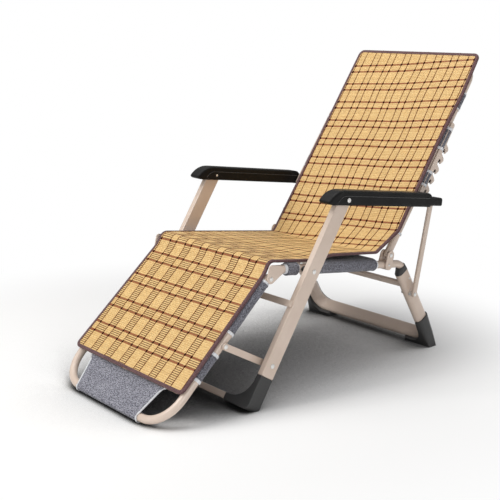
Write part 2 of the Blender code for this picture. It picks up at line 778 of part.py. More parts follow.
def armrests():
    """Moulded armrest: a channel open below, a drooping nose and a thin tongue at the rear."""
    nose = bend(arm_point(-ARM_NOSE, -ARM_NOSE_DROP), arm_point(-ARM_BROW, ARM_TOP),
                arm_point(-ARM_CROWN, ARM_TOP), 8)
    tail = bend(arm_point(ARM_BODY_END - 4 * ARM_STEP, ARM_TOP), arm_point(ARM_BODY_END - ARM_STEP, ARM_TOP),
                arm_point(ARM_BODY_END + ARM_STEP, ARM_TONGUE_TOP), 4)
    tip = bend(arm_point(ARM_TONGUE_END - ARM_TIP, ARM_TONGUE_TOP), arm_point(ARM_TONGUE_END, ARM_TONGUE_TOP),
               arm_point(ARM_TONGUE_END, ARM_TONGUE_TOP - 1.5 * ARM_TIP), 4)
    chin = bend(arm_point(-ARM_CHIN, ARM_BOTTOM), arm_point(-ARM_CHIN_BEND, ARM_BOTTOM),
                arm_point(-ARM_NOSE, -ARM_NOSE_DROP), 4)
    under = [arm_point(ARM_TONGUE_END, ARM_TONGUE_BOTTOM), arm_point(ARM_BODY_END + ARM_STEP, ARM_TONGUE_BOTTOM),
             arm_point(ARM_BODY_END - ARM_STEP, ARM_BOTTOM)]
    rest = prism(nose + tail + tip + under + chin[:-1], ARM_INNER_X, ARM_OUTER_X)
    ceiling = ARM_TOP - ARM_SKIN
    below = ARM_BOTTOM - CUT_MARGIN
    hollow_end = ARM_BODY_END - ARM_HOLLOW_SLOPE
    hollow = [arm_point(-ARM_HOLLOW, below), arm_point(-ARM_HOLLOW, ARM_BOTTOM + ARM_WALL),
              arm_point(-ARM_HOLLOW + ARM_HOLLOW_SLOPE, ceiling), arm_point(hollow_end, ceiling),
              arm_point(hollow_end, below)]
    channel = prism(hollow, ARM_INNER_X + ARM_WALL, ARM_OUTER_X - ARM_WALL)
    relief_end = ARM_TONGUE_END + CUT_MARGIN
    above = ARM_TOP + CUT_MARGIN
    relief_outline = [arm_point(ARM_BODY_END, below), arm_point(relief_end, below),
                      arm_point(relief_end, above), arm_point(ARM_BODY_END, above)]
    relief = prism(relief_outline, ARM_INNER_X - CUT_MARGIN, STRUT_OUTER_X + 2 * GAP)
    bolt_hole = drilled(arm_pivot, ARM_INNER_X, ARM_OUTER_X)
    pair("armrest", "armrests", "black_plastic", rest, cuts=[channel, relief, bolt_hole], soften=0.004)
    bolt = turned([(ARM_INNER_X + GAP, PIN_R)] + bolt_head(ARM_OUTER_X + GAP), arm_pivot)
    pair("armrest_bolt", "armrests", "zinc_steel", bolt)


def struts():
    """Strut each side from the rear leg up to the armrest, with its pins."""
    bar = prism(hull([(strut_foot, STRUT_R), (strut_top, STRUT_R)]), STRUT_INNER_X, STRUT_OUTER_X)
    holes = new_solid()
    for pivot in (strut_foot, strut_top):
        drilled(pivot, STRUT_INNER_X, STRUT_OUTER_X, holes)
    pair("strut", "struts", "cream_paint", bar, cuts=[holes], soften=0.0025)
    shoulder = washer(LEG_OUTER_X + GAP, STRUT_INNER_X - GAP)
    foot_bolt = turned(nut(LEG_INNER_X - GAP) + shoulder + rivet_head(STRUT_OUTER_X + GAP), strut_foot)
    pair("strut_foot_bolt", "struts", "zinc_steel", foot_bolt)
    top_pin = turned(rivet_tail(STRUT_INNER_X - GAP) + [(STRUT_OUTER_X + GAP, PIN_R)], strut_top)
    pair("strut_top_pin", "struts", "zinc_steel", top_pin)


# Back
def hoop_path(pivot, direction, length, corner_r):
    """Line of a U of tube from one pivot out, across and back to the other pivot."""
    corners = [at(FRAME_HALF, pivot), at(FRAME_HALF, pivot + direction * length),
               at(-FRAME_HALF, pivot + direction * length), at(-FRAME_HALF, pivot)]
    path = rounded_path(corners, corner_r)
    nose, scales = dome_start(path, TUBE_R)
    tail = [Vector((-p.x, p.y, p.z)) for p in nose[::-1]]
    return nose + path + tail, scales + [1.0] * len(path) + scales[::-1]


def tube_hoop(name, body, pivot, direction, up, length, corner_r):
    """Hoop of round tube with a pin hole in each foot."""
    path, scales = hoop_path(pivot, direction, length, corner_r)
    hoop = swept(circle(TUBE_R), path, at(0.0, up), scales=scales)
    holes = new_solid()
    for side in (1, -1):
        drilled(pivot, side * TUBE_INNER_X, side * TUBE_OUTER_X, holes)
    piece(name, body, "cream_paint", hoop, cuts=[holes])


def rack_outline():
    """Hooked plate in the side view: stem beside the tube, hooks open towards the pivot."""
    rod = TUBE_R + GAP + LATCH_ROD_R
    throat = LATCH_ROD_R + 2 * GAP
    stem_rear = rod - throat
    lip = rod + throat + GAP
    tip = lip + HOOK_DEPTH
    low = NOTCH_FIRST_AT - RACK_TAIL

    def spot(along, rear):
        return back_pivot + back_dir * along - back_up * rear

    points = []
    for i in range(NOTCH_COUNT):
        notch = NOTCH_FIRST_AT + NOTCH_PITCH * i
        points.append(spot(notch - 2 * LATCH_ROD_R, stem_rear))
        for k in range(5):
            a = radians(180 - 45 * k)
            points.append(spot(notch + throat * sin(a), rod + throat * cos(a)))
        points.append(spot(notch - throat, lip))
        points.append(spot(notch - throat - HOOK_LIP, lip + HOOK_LIP))
        points.append(spot(notch - throat, lip + 2 * HOOK_LIP))
        points.append(spot(notch + throat, tip))
        points.append(spot(notch + 2 * throat, tip))
        points.append(spot(notch + 3 * throat, lip + 2 * HOOK_LIP))
        points.append(spot(notch + 4 * throat, stem_rear + HOOK_LIP))
    points.append(spot(RACK_TOP_AT - RACK_CORNER, stem_rear))
    points.append(spot(RACK_TOP_AT, stem_rear - RACK_CORNER))
    points.append(spot(RACK_TOP_AT, RACK_STEM_FRONT + RACK_CORNER))
    points.append(spot(RACK_TOP_AT - RACK_CORNER, RACK_STEM_FRONT))
    points.append(spot(low + RACK_CORNER, RACK_STEM_FRONT))
    points.append(spot(low, RACK_STEM_FRONT + RACK_CORNER))
    points.append(spot(low, stem_rear - RACK_CORNER))
    points.append(spot(low + RACK_CORNER, stem_rear))
    return points


def back_frame():
    """Hoop of the back with its pivot pins, hooked plates and latch rod."""
    tube_hoop("back_hoop", "back", back_pivot, back_dir, back_up, BACK_LENGTH, BACK_CORNER_R)
    pair("rack_plate", "back", "cream_paint", prism(rack_outline(), RACK_X, RACK_X + PLATE_T))
    pin = turned(rivet_tail(INNER_EAR_X - GAP) + rivet_head(PLATE_OUTER_X + GAP), back_pivot)
    pair("back_pin", "back", "zinc_steel", pin)
    rod_at = back_pivot + back_dir * NOTCH_FIRST_AT - back_up * (TUBE_R + GAP + LATCH_ROD_R)
    rod = turned([(-LATCH_ROD_HALF, LATCH_ROD_R), (LATCH_ROD_HALF, LATCH_ROD_R)], rod_at, steps=SIDES)
    piece("latch_rod", "back", "zinc_steel", rod)


# Footrest and links
def footrest_frame():
    """Hoop of the footrest with its knee pins."""
    tube_hoop("footrest_hoop", "footrest", knee_pivot, foot_dir, foot_up, FOOT_LENGTH, FOOT_CORNER_R)
    pin = turned(nut(TUBE_INNER_X - GAP) + rivet_head(PLATE_OUTER_X + GAP), knee_pivot)
    pair("knee_pin", "footrest", "zinc_steel", pin)


def links():
    """Flat link each side from the front post to the footrest tube."""
    bar = prism(hull([(link_pivot, LINK_R), (link_foot, LINK_R)]), LINK_INNER_X, LINK_OUTER_X)
    holes = new_solid()
    for pivot in (link_pivot, link_foot):
        drilled(pivot, LINK_INNER_X, LINK_OUTER_X, holes)
    pair("link", "links", "cream_paint", bar, cuts=[holes])
    inner = LINK_INNER_X - GAP
    spacer = [(PLATE_X, LINK_SPACER_R), (inner, LINK_SPACER_R), (inner, PIN_R)]
    rivet = turned(spacer + rivet_head(LINK_OUTER_X + GAP), link_foot)
    pair("link_rivet", "links", "zinc_steel", rivet)


# Slings and mat
def sling(name, body, origin, direction, up, reach, sleeves, sleeve_r, tail=()):
    """Fabric panel stretched between the side tubes, with sleeves sewn round them."""
    top = sleeve_r - GAP
    low = top - PANEL_T
    tab = FRAME_HALF - SLING_TAB_INSET
    edge = [(SLING_HALF, reach[0])]
    for a, b in sleeves:
        start = a + SLING_HEM
        end = b - SLING_HEM
        edge += [(SLING_HALF, start), (tab, start), (tab, end), (SLING_HALF, end)]
    edge += [(SLING_HALF, reach[1])]
    edge += tail
    outline = edge + [(-x, t) for x, t in edge[::-1]]
    rings = []
    for w in (low, top):
        rings.append([at(x, origin + direction * t + up * w) for x, t in outline])
    panel = add_rings(new_solid(), rings)
    rounds = new_solid()
    for side in (1, -1):
        for a, b in sleeves:
            ring_sleeve(TUBE_R + GAP, sleeve_r, at(side * FRAME_HALF, origin + direction * a),
                        at(side * FRAME_HALF, origin + direction * b), at(0.0, up), rounds)
    joins = [rounds]
    if tail:
        wrap = new_solid()
        bar = origin + direction * FOOT_LENGTH
        half = END_PANEL_HALF + WRAP_OVERLAP
        ring_sleeve(TUBE_R + GAP, sleeve_r, at(-half, bar), at(half, bar), at(0.0, up), wrap)
        joins.append(wrap)
    piece(name, body, "grey_fabric", panel, joins=joins)


def slings():
    """Seat, back and footrest panels."""
    sling("sling_seat", "seat_frame", fold_pivot, seat_dir, seat_up,
          (SLING_FRONT, BACK_PIVOT_AT - SLING_REAR_GAP), SEAT_SLEEVES, SEAT_SLEEVE_R)
    sling("sling_back", "back", back_pivot, back_dir, back_up, BACK_SLING, BACK_SLEEVES, SLEEVE_R)
    sling("sling_foot", "footrest", knee_pivot, foot_dir, foot_up, FOOT_SLING, FOOT_SLEEVES, SLEEVE_R,
          tail=[(END_PANEL_TOP_HALF, END_PANEL_TOP_AT), (END_PANEL_HALF, FOOT_LENGTH - WRAP_OVERLAP)])


def slatted(line):
    """Outline of the mat in the side view, given its underside: smooth below, slats with grooves above."""
    top = ribbon(line, MAT_T)[len(line):][::-1]
    return list(line) + grooved(top)[::-1]


def grooved(line):
    """The line with a V groove between each two slats, cut to its right."""
    reach = [0.0]
    for a, b in zip(line, line[1:]):
        reach.append(reach[-1] + (b - a).length)

    def spot(s):
        i = 0
        while reach[i + 1] < s:
            i += 1
        return line[i].lerp(line[i + 1], (s - reach[i]) / (reach[i + 1] - reach[i]))

    count = round(reach[-1] / SLAT_PITCH)
    points = [line[0]]
    for i in range(1, count):
        s = reach[-1] * i / count
        before = spot(s - SLAT_GROOVE / 2)
        after = spot(s + SLAT_GROOVE / 2)
        floor = (before + after) / 2 - left((after - before).normalized()) * SLAT_GROOVE_DEPTH
        points += [before, floor, after]
    points.append(line[-1])
    return points


def mats():
    """Slatted mat in three lengths, one on each moving panel, with slits where it hinges."""
    def place(origin, direction, up, line):
        return [origin + direction * p.x + up * p.y for p in line]

    seat_low = SEAT_SLEEVE_R + GAP
    slit = (SEAT_TILT + FOOT_ANGLE) / 2
    above_knee = seat_low + KNEE_PIVOT_DROP
    lean = tan(radians(slit - KNEE_SLIT_HALF - 90 - SEAT_TILT))
    front_low = -KNEE_PIVOT_AT - above_knee * lean
    front_high = front_low - MAT_T * lean
    rear = BACK_PIVOT_AT - MAT_CREASE_GAP
    top = grooved([Vector((front_high, seat_low + MAT_T)), Vector((rear, seat_low + MAT_T))])
    outline = [Vector((front_low, seat_low)), Vector((rear, seat_low))] + top[::-1]
    outline = place(fold_pivot, seat_dir, seat_up, outline)
    piece("mat_seat", "seat_frame", "slat_mat", prism(outline, -MAT_HALF, MAT_HALF))

    low = SLEEVE_R + GAP
    top = Vector((BACK_LENGTH + MAT_TOP_OVERHANG, low - MAT_TOP_DROOP))
    line = [Vector((MAT_CREASE_GAP, low)), Vector((BACK_LENGTH, low)), top]
    outline = place(back_pivot, back_dir, back_up, slatted(line))
    piece("mat_back", "back", "slat_mat", prism(outline, -MAT_HALF, MAT_HALF))

    roll = unit(slit + KNEE_SLIT_HALF)
    start_low = roll * (KNEE_ROLL_R - MAT_T)
    start = Vector((start_low.dot(foot_dir), start_low.dot(foot_up)))
    line = bend(start, Vector((KNEE_ROLL_R / 2, low + 2 * MAT_T)), Vector((KNEE_ROLL_R + 3 * MAT_T, low)), 6)
    line += [Vector((MAT_FOOT_END, low))]
    outline = place(knee_pivot, foot_dir, foot_up, slatted(line))
    piece("mat_foot", "footrest", "slat_mat", prism(outline, -MAT_HALF, MAT_HALF))


seat_tubes()
knee_plates()
back_brackets()
rear_leg_hoop()
leg_plugs()
rear_shoes()
rear_crossbar()
front_posts()
front_shoes()
front_bars()
front_pins()
armrests()
struts()
back_frame()
footrest_frame()
links()
slings()
mats()

# Move the whole model so that its origin is under the middle of its length
bpy.context.view_layer.update()
depsgraph = bpy.context.evaluated_depsgraph_get()
reach = []
for thing in bpy.data.objects:
    if thing.type == "MESH" and not thing.hide_render:
        finished = thing.evaluated_get(depsgraph)
        reach += [(finished.matrix_world @ vert.co).y for vert in finished.data.vertices]
bodies["seat_frame"].location.y = -(min(reach) + max(reach)) / 2
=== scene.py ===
"""Looks of the folding recliner: slatted mat, slings, tapes, rivets, finishes, light and camera.

Metres, +Z up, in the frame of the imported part: the feet point to -Y and +X is the sitter's left.
"""

import json
from collections import namedtuple
from math import cos, pi, radians, sin, tan

import bmesh
import bpy
import numpy as np
from mathutils import Matrix, Vector


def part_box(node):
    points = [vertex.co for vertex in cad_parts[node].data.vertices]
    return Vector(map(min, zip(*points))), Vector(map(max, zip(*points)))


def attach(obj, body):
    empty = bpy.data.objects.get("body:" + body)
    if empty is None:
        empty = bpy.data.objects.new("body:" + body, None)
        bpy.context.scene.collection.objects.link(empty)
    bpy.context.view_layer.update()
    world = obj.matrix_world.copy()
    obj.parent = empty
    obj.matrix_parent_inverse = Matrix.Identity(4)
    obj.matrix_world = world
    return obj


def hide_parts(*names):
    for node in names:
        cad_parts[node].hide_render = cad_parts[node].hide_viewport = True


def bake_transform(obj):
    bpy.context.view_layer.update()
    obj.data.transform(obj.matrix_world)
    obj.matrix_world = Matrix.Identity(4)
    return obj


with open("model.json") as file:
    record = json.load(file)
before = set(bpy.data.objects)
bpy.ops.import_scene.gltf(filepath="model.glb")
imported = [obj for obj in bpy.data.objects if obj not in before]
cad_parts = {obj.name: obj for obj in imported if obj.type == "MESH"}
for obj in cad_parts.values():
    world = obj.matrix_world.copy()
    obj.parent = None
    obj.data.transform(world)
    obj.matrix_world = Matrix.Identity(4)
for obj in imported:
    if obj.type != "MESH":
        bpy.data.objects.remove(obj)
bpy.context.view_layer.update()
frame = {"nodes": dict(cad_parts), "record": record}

# The frame in the side view, as (y, z), with the part's own named sizes; SHIFT centres it on the origin
SHIFT = 0.20445
FOLD_PIVOT = Vector((-0.349 + SHIFT, 0.376))
SEAT_TILT = -7.8
SEAT_REAR_AT = 0.4597
BACK_PIVOT_AT = 0.388
BACK_PIVOT_RISE = 0.0316
BACK_ANGLE = 54.5
BACK_LENGTH = 0.715
KNEE_PIVOT_AT = 0.1298
KNEE_PIVOT_DROP = 0.0253
FOOT_ANGLE = 222.8
FOOT_LENGTH = 0.520
LEG_ANGLE = -58.8
LEG_MOUTH_AT = 0.0275
LEG_TUBE_OFFSET = 0.0095
ARM_PIVOT = Vector((-0.01687, 0.57412))
ARM_TILT = -7.9
NOTCH_FIRST_AT = 0.209
NOTCH_PITCH = 0.0386
NOTCH_COUNT = 6
LATCH_ROD_R = 0.005
TUBE_R = 0.0125
FRAME_HALF = 0.260
GAP = 0.0003


def unit(degrees):
    """Unit vector in the side view, 0 degrees towards the rear and 90 up."""
    return Vector((cos(radians(degrees)), sin(radians(degrees))))


def left(v):
    """The vector turned a quarter turn, from rear towards up."""
    return Vector((-v.y, v.x))


def at(x, point):
    """Side-view point placed at x."""
    return Vector((x, point.x, point.y))


seat_dir = unit(SEAT_TILT)
seat_up = left(seat_dir)
back_dir = unit(BACK_ANGLE)
back_up = left(back_dir)
foot_dir = unit(FOOT_ANGLE)
foot_up = -left(foot_dir)
leg_dir = unit(LEG_ANGLE)
leg_rear = left(leg_dir)
arm_dir = unit(ARM_TILT)
arm_up = left(arm_dir)
back_pivot = FOLD_PIVOT + seat_dir * BACK_PIVOT_AT + seat_up * BACK_PIVOT_RISE
knee_pivot = FOLD_PIVOT - seat_dir * KNEE_PIVOT_AT - seat_up * KNEE_PIVOT_DROP
leg_mouth = FOLD_PIVOT + seat_dir * SEAT_REAR_AT + leg_dir * LEG_MOUTH_AT - leg_rear * LEG_TUBE_OFFSET

# Mat: its layers, edges and bends
MAT_HALF = 0.264
MAT_T = 0.006
MAT_FOOT_END = 0.420
MAT_TOP_END = 0.755
MAT_CORNER_R = 0.016
SLAT_PITCH = 0.0065
SLAT_HALF_SHARE = 0.485
SLAT_THICK = 0.0023
BACKING_THICK = 0.0035
BACKING_RISE = 0.0002
BINDING_WIDTH = 0.0105
BINDING_THICK = 0.0080
EDGE_INSET = 0.003
KNEE_BEND_AT = 0.1262
KNEE_BEND_RISE = 0.002
HOLLOW_LEG = 0.003
HOLLOW_BACK_MORE = 0.005
HOLLOW_FADE = 0.10

# The near edge of the mat lies higher than the far one where it bridges the crease: where the lift starts
# and ends, and its two corners as distance before the crease and height
LIFT_BEFORE = 0.320
LIFT_AFTER = 0.101
LIFT_CORNERS = ((0.235, 0.015), (0.0387, 0.0185))
FAR_BENDS = (0.090, 0.020, 0.018)
NEAR_BENDS = (0.090, 0.020, 0.100, 0.150, 0.018, 0.060)

# World x of the mat's edges at its stations: foot end, knee, start of the lift, crease, end of the lift,
# two places up the back, and the top
BACK_STATIONS = (0.40, 0.60)
MAT_NEAR = (0.270, 0.264, 0.265, 0.273, 0.282, 0.275, 0.282, 0.275)
MAT_FAR = (-0.284, -0.262, -0.260, -0.258, -0.258, -0.260, -0.262, -0.263)

# Mat pattern: lengthwise thread lines in pairs, crosswise brown slats in pairs
COLUMN_LEG = 0.0763
COLUMN_BACK = 0.0690
COLUMN_MIDDLE = 0.0430
COLUMN_SHARE = 0.200
COLUMNS_EACH_WAY = 5
ROW_LEG = 0.0955
ROW_BACK = 0.0780
LEG_ROWS = 4
BACK_ROWS = 9
FIRST_ROW_LEG = 0.331
LAST_ROW_BACK = 0.691
PAIR_LEG = 5
PAIR_BACK = 4
PAIR_CHANGE = 0.6
SKEW_LEG = 0.018
SKEW_BACK = 0.095
BACK_EASE = 0.15

# Wander of slats and threads on the back, and its waves in radians for each metre along and across
DRIFT_ACROSS = 0.0050
DRIFT_ALONG = 0.0022
DRIFT_FADE = 0.08
ACROSS_WAVE = (19.0, 5.0)
ALONG_WAVE = (7.0, 13.0)

# Thread over the slats, its stitches as shares of the slats' pitch
THREAD_WIDTH = 0.0032
KNOT_WIDTH = 0.0075
THREAD_HEIGHT = 0.0009
STITCH_LEG = 1.3
STITCH_BACK_MORE = 0.5

# Slings: panels, and sleeves round the tubes with rolled hems, given as distance from the end and height
SLEEVE_R = 0.0147
SEAT_SLEEVE_R = 0.0195
SLING_HALF = FRAME_HALF - 0.006
PANEL_THICK = 0.0010
PANEL_ROWS = 40
PANEL_COLUMNS = 36
SAG_FADE = 4.0
HEM = ((0.0, -0.0006), (0.0016, 0.0004), (0.006, 0.0003), (0.008, -0.0004))
SLEEVE_DIP = 0.0002
SLEEVE_STEP = 0.014
SLEEVE_SIDES = 28

# Small pulls in a sleeve: their height, how many go round, their twist and their waves along
PULL = 0.00035
PULLS_ROUND = 3
PULL_TWIST = 60
PULL_WAVE = 90

# Bulge of the back's sleeves over the hooked plates, eased off above the tube's middle
PLATE_COVER = 0.0078
BULGE_EASE = 0.8

# White bands: those over the hooked plates as (distance, width), and every band's section
PLATE_TAPES = ((0.261, 0.009), (0.309, 0.009), (0.398, 0.010), (0.473, 0.010))
TAPE_PROFILE = ((-0.5, 1.0), (-0.5, 1.14), (-0.42, 1.20), (0.42, 1.20), (0.5, 1.14), (0.5, 1.0))

# End of the footrest's sling, drawn in to a narrow panel with white piping
DRAW_IN_AT = 0.36
END_PANEL_TOP_AT = 0.430
END_PANEL_TOP_HALF = 0.178
END_PANEL_HALF = 0.155
WRAP_EDGE = 0.002
PIPING_FROM = 0.385
PIPING_TURN = 195
PIPING_R = 0.0027
PIPING_SINK = 0.0004
PIPING_BESIDE = 0.0005
PIPING_WRAP_BESIDE = 0.0008
PIPING_WRAP_RISE = 0.0002

# Stitches of the slings' seams
SEAM_PITCH = 0.0042
SEAM_INSET = 0.010
SEAM_RISE = 0.0001
SEAM_STITCH = (0.0034, 0.0006, 0.0005)

# Small hardware; a rivet is placed by its x, then from the leg's mouth down and to the rear, or from the
# fold pivot along the seat
RIVET_WIDTH = 0.0085
LEG_RIVET = (0.2745, 0.035, 0.0104)
SADDLE_RIVET = (0.2768, 0.384)
# Dark discs by the notches of the hooked plates: painted shade, standing for the shadow inside the notches
NOTCH_SHADE_X = 0.2738
NOTCH_SHADE_SIZE = (0.0150, 0.0150, 0.0060)
BEAD_R = 0.0011
BEAD_HEIGHT = 0.012
BEAD_REACH = (-0.045, 0.385)
BEAD_DROP = 18.0
BEAD_DROP_FROM = 0.012

# Studio and camera
FLOOR_R = 14.0
FLOOR_SHADE_REACH = 0.66
FLOOR_SHADE_LEAN = (0.50, 0.45, 1.0)
FLOOR_SHADE_RANGE = (0.33, 0.88)
FLOOR_MIDDLE = (-0.15, -0.30, 0.0)
FLOOR_FADE = (0.75, 1.45)
WORLD_LIGHT = 0.22
CAMERA_LENS = 68.652
CAMERA_AZIMUTH = 48.900
CAMERA_ELEVATION = 13.578
CAMERA_AT = (2.2197, -2.2568 + SHIFT, 1.091)

# How finely lines and round sections are cut
ARC_STEPS = 10
LINE_POINTS = 1200
SOFT_POINTS = 7
MAT_STEP = 0.006
SHARP_ANGLE = 40.0


# Node materials
class Finish:
    """A material and short calls that add and join its nodes."""

    def __init__(self, name, roughness=0.5, metallic=0.0):
        self.material = bpy.data.materials.new(name)
        self.material.use_nodes = True
        self.tree = self.material.node_tree
        self.shader = self.tree.nodes["Principled BSDF"]
        self.shader.inputs["Roughness"].default_value = roughness
        self.shader.inputs["Metallic"].default_value = metallic

    def node(self, kind, **values):
        """A new node with the given properties."""
        made = self.tree.nodes.new(kind)
        for key, value in values.items():
            setattr(made, key, value)
        return made

    def link(self, a, b):
        """Join an output to an input."""
        self.tree.links.new(a, b)

    def put(self, value, socket):
        """Set a socket to a number or colour, or join it to another socket."""
        if isinstance(value, bpy.types.NodeSocket):
            self.link(value, socket)
        else:
            socket.default_value = value

    def place(self):
        """Position on the piece, in metres."""
        return self.node("ShaderNodeTexCoord").outputs["Object"]

    def scaled(self, vector, scale, turn=(0.0, 0.0, 0.0)):
        """A position stretched and turned."""
        mapping = self.node("ShaderNodeMapping")
        self.link(vector, mapping.inputs["Vector"])
        mapping.inputs["Scale"].default_value = scale
        mapping.inputs["Rotation"].default_value = turn
        return mapping.outputs["Vector"]

    def noise(self, vector, scale, detail=3.0):
        """Soft noise from 0 to 1."""
        made = self.node("ShaderNodeTexNoise")
        self.link(vector, made.inputs["Vector"])
        made.inputs["Scale"].default_value = scale
        made.inputs["Detail"].default_value = detail
        return made.outputs["Fac"]

    def attribute(self, name):
        """A number carried by the mesh."""
        return self.node("ShaderNodeAttribute", attribute_name=name).outputs["Fac"]

    def math(self, operation, a, b=0.0):
        """One step of arithmetic on numbers or sockets."""
        made = self.node("ShaderNodeMath", operation=operation)
        for value, socket in zip((a, b), made.inputs):
            self.put(value, socket)
        return made.outputs["Value"]

    def ramp(self, value, low, high, to_low=0.0, to_high=1.0):
        """Value taken from one range to another, eased and held at the ends."""
        made = self.node("ShaderNodeMapRange", interpolation_type="SMOOTHSTEP")
        for key, number in (("Value", value), ("From Min", low), ("From Max", high),
                            ("To Min", to_low), ("To Max", to_high)):
            self.put(number, made.inputs[key])
        return made.outputs["Result"]

    def mix(self, share, a, b):
        """Colour a turned to colour b by a share."""
        made = self.node("ShaderNodeMix", data_type="RGBA")
        self.put(share, made.inputs["Factor"])
        self.put(a if isinstance(a, bpy.types.NodeSocket) else (*a, 1.0), made.inputs["A"])
        self.put(b if isinstance(b, bpy.types.NodeSocket) else (*b, 1.0), made.inputs["B"])
        return made.outputs["Result"]

    def colour(self, value):
        """The surface's own colour."""
        self.put(value if isinstance(value, bpy.types.NodeSocket) else (*value, 1.0),
                 self.shader.inputs["Base Color"])

    def bump(self, height, distance, strength=1.0, rounding=0.0):
        """Relief from a height, over edges that look rounded by a radius."""
        made = self.node("ShaderNodeBump")
        if rounding:
            edge = self.node("ShaderNodeBevel", samples=6)
            edge.inputs["Radius"].default_value = rounding
            self.link(edge.outputs["Normal"], made.inputs["Normal"])
        made.inputs["Strength"].default_value = strength
        made.inputs["Distance"].default_value = distance
        self.link(height, made.inputs["Height"])
        self.link(made.outputs["Normal"], self.shader.inputs["Normal"])


def cream_paint():
    """Satin powder coat with faint orange peel, a little darker where hands and feet rub."""
    paint = Finish("cream_paint", roughness=0.34)
    paint.shader.inputs["Coat Weight"].default_value = 0.35
    paint.shader.inputs["Coat Roughness"].default_value = 0.18
    rubbed = (0.680, 0.545, 0.450)
    clean = (0.735, 0.600, 0.505)
    place = paint.place()
    cloud = paint.noise(place, 9.0)
    fine = paint.noise(place, 900.0, 2.0)
    paint.colour(paint.mix(paint.ramp(cloud, 0.35, 0.7), rubbed, clean))
    paint.put(paint.ramp(cloud, 0.3, 0.7, 0.30, 0.40), paint.shader.inputs["Roughness"])
    paint.bump(fine, 0.00008, rounding=0.0022)
    return paint.material


def black_plastic(name, side, top, shine=0.5, rounding=0.003):
    """Moulded plastic with a fine sparked grain, lighter where it faces up: painted light on the top and
    painted shade on the sides.
    """
    plastic = Finish(name, roughness=0.42)
    plastic.shader.inputs["Specular IOR Level"].default_value = shine
    place = plastic.place()
    grain = plastic.noise(place, 1600.0, 2.0)
    cloud = plastic.noise(place, 14.0)
    soft = plastic.node("ShaderNodeBevel", samples=8)
    soft.inputs["Radius"].default_value = rounding
    facing = plastic.node("ShaderNodeSeparateXYZ")
    plastic.link(soft.outputs["Normal"], facing.inputs["Vector"])
    # Painted light and shade: the top tone where the rounded normal faces up, the darker side tone on the
    # sides
    plastic.colour(plastic.mix(plastic.ramp(facing.outputs["Z"], 0.1, 0.8), (side,) * 3, (top,) * 3))
    plastic.put(plastic.ramp(cloud, 0.3, 0.7, 0.36, 0.48), plastic.shader.inputs["Roughness"])
    plastic.bump(grain, 0.0001, 0.7, rounding)
    return plastic.material


def zinc_steel():
    """Bright zinc plate with faint turning marks."""
    steel = Finish("zinc_steel", roughness=0.38, metallic=0.65)
    place = steel.place()
    steel.colour(steel.mix(steel.noise(place, 300.0), (0.78, 0.77, 0.75), (0.90, 0.89, 0.87)))
    steel.bump(steel.noise(steel.scaled(place, (0.2, 1.0, 1.0)), 1800.0), 0.00005, 0.5)
    return steel.material


def woven_cloth(name, dark, light, yarn=0.0011, sheen=0.25):
    """Plain weave of melange yarn, with painted shade in the low places between its yarns."""
    cloth = Finish(name, roughness=0.9)
    cloth.shader.inputs["Sheen Weight"].default_value = sheen
    cloth.shader.inputs["Sheen Roughness"].default_value = 0.5
    place = cloth.place()
    waves = []
    for direction in ("X", "Y"):
        wave = cloth.node("ShaderNodeTexWave", bands_direction=direction)
        turn = (radians(-SEAT_TILT), 0.0, 0.0)
        cloth.link(cloth.scaled(place, (1.0, 1.0, 1.0), turn), wave.inputs["Vector"])
        wave.inputs["Scale"].default_value = 0.314 / yarn
        wave.inputs["Distortion"].default_value = 0.6
        wave.inputs["Detail"].default_value = 1.0
        waves.append(wave.outputs["Fac"])
    height = cloth.math("MAXIMUM", *waves)
    speckle = cloth.noise(cloth.scaled(place, (0.5, 1.0, 1.0)), 420.0, 4.0)
    cloud = cloth.noise(place, 25.0)
    tone = cloth.mix(cloth.ramp(speckle, 0.40, 0.60), dark, light)
    tone = cloth.mix(cloth.ramp(cloud, 0.3, 0.8, 0.0, 0.22), tone, dark)
    # Painted shade: darker towards the dark yarn where the weave is low, between its yarns
    cloth.colour(cloth.mix(cloth.ramp(height, 0.2, 0.9, 0.25, 0.0), tone, dark))
    cloth.bump(height, 0.0003, 0.8)
    return cloth.material


def thread_finish():
    """Dark red-brown thread, darker where it is knotted round a brown slat."""
    thread = Finish("mat_thread", roughness=0.9)
    thread.shader.inputs["Specular IOR Level"].default_value = 0.1
    red_brown = (0.130, 0.030, 0.008)
    near_black = (0.030, 0.005, 0.002)
    thread.colour(thread.mix(thread.attribute("knot"), red_brown, near_black))
    return thread.material


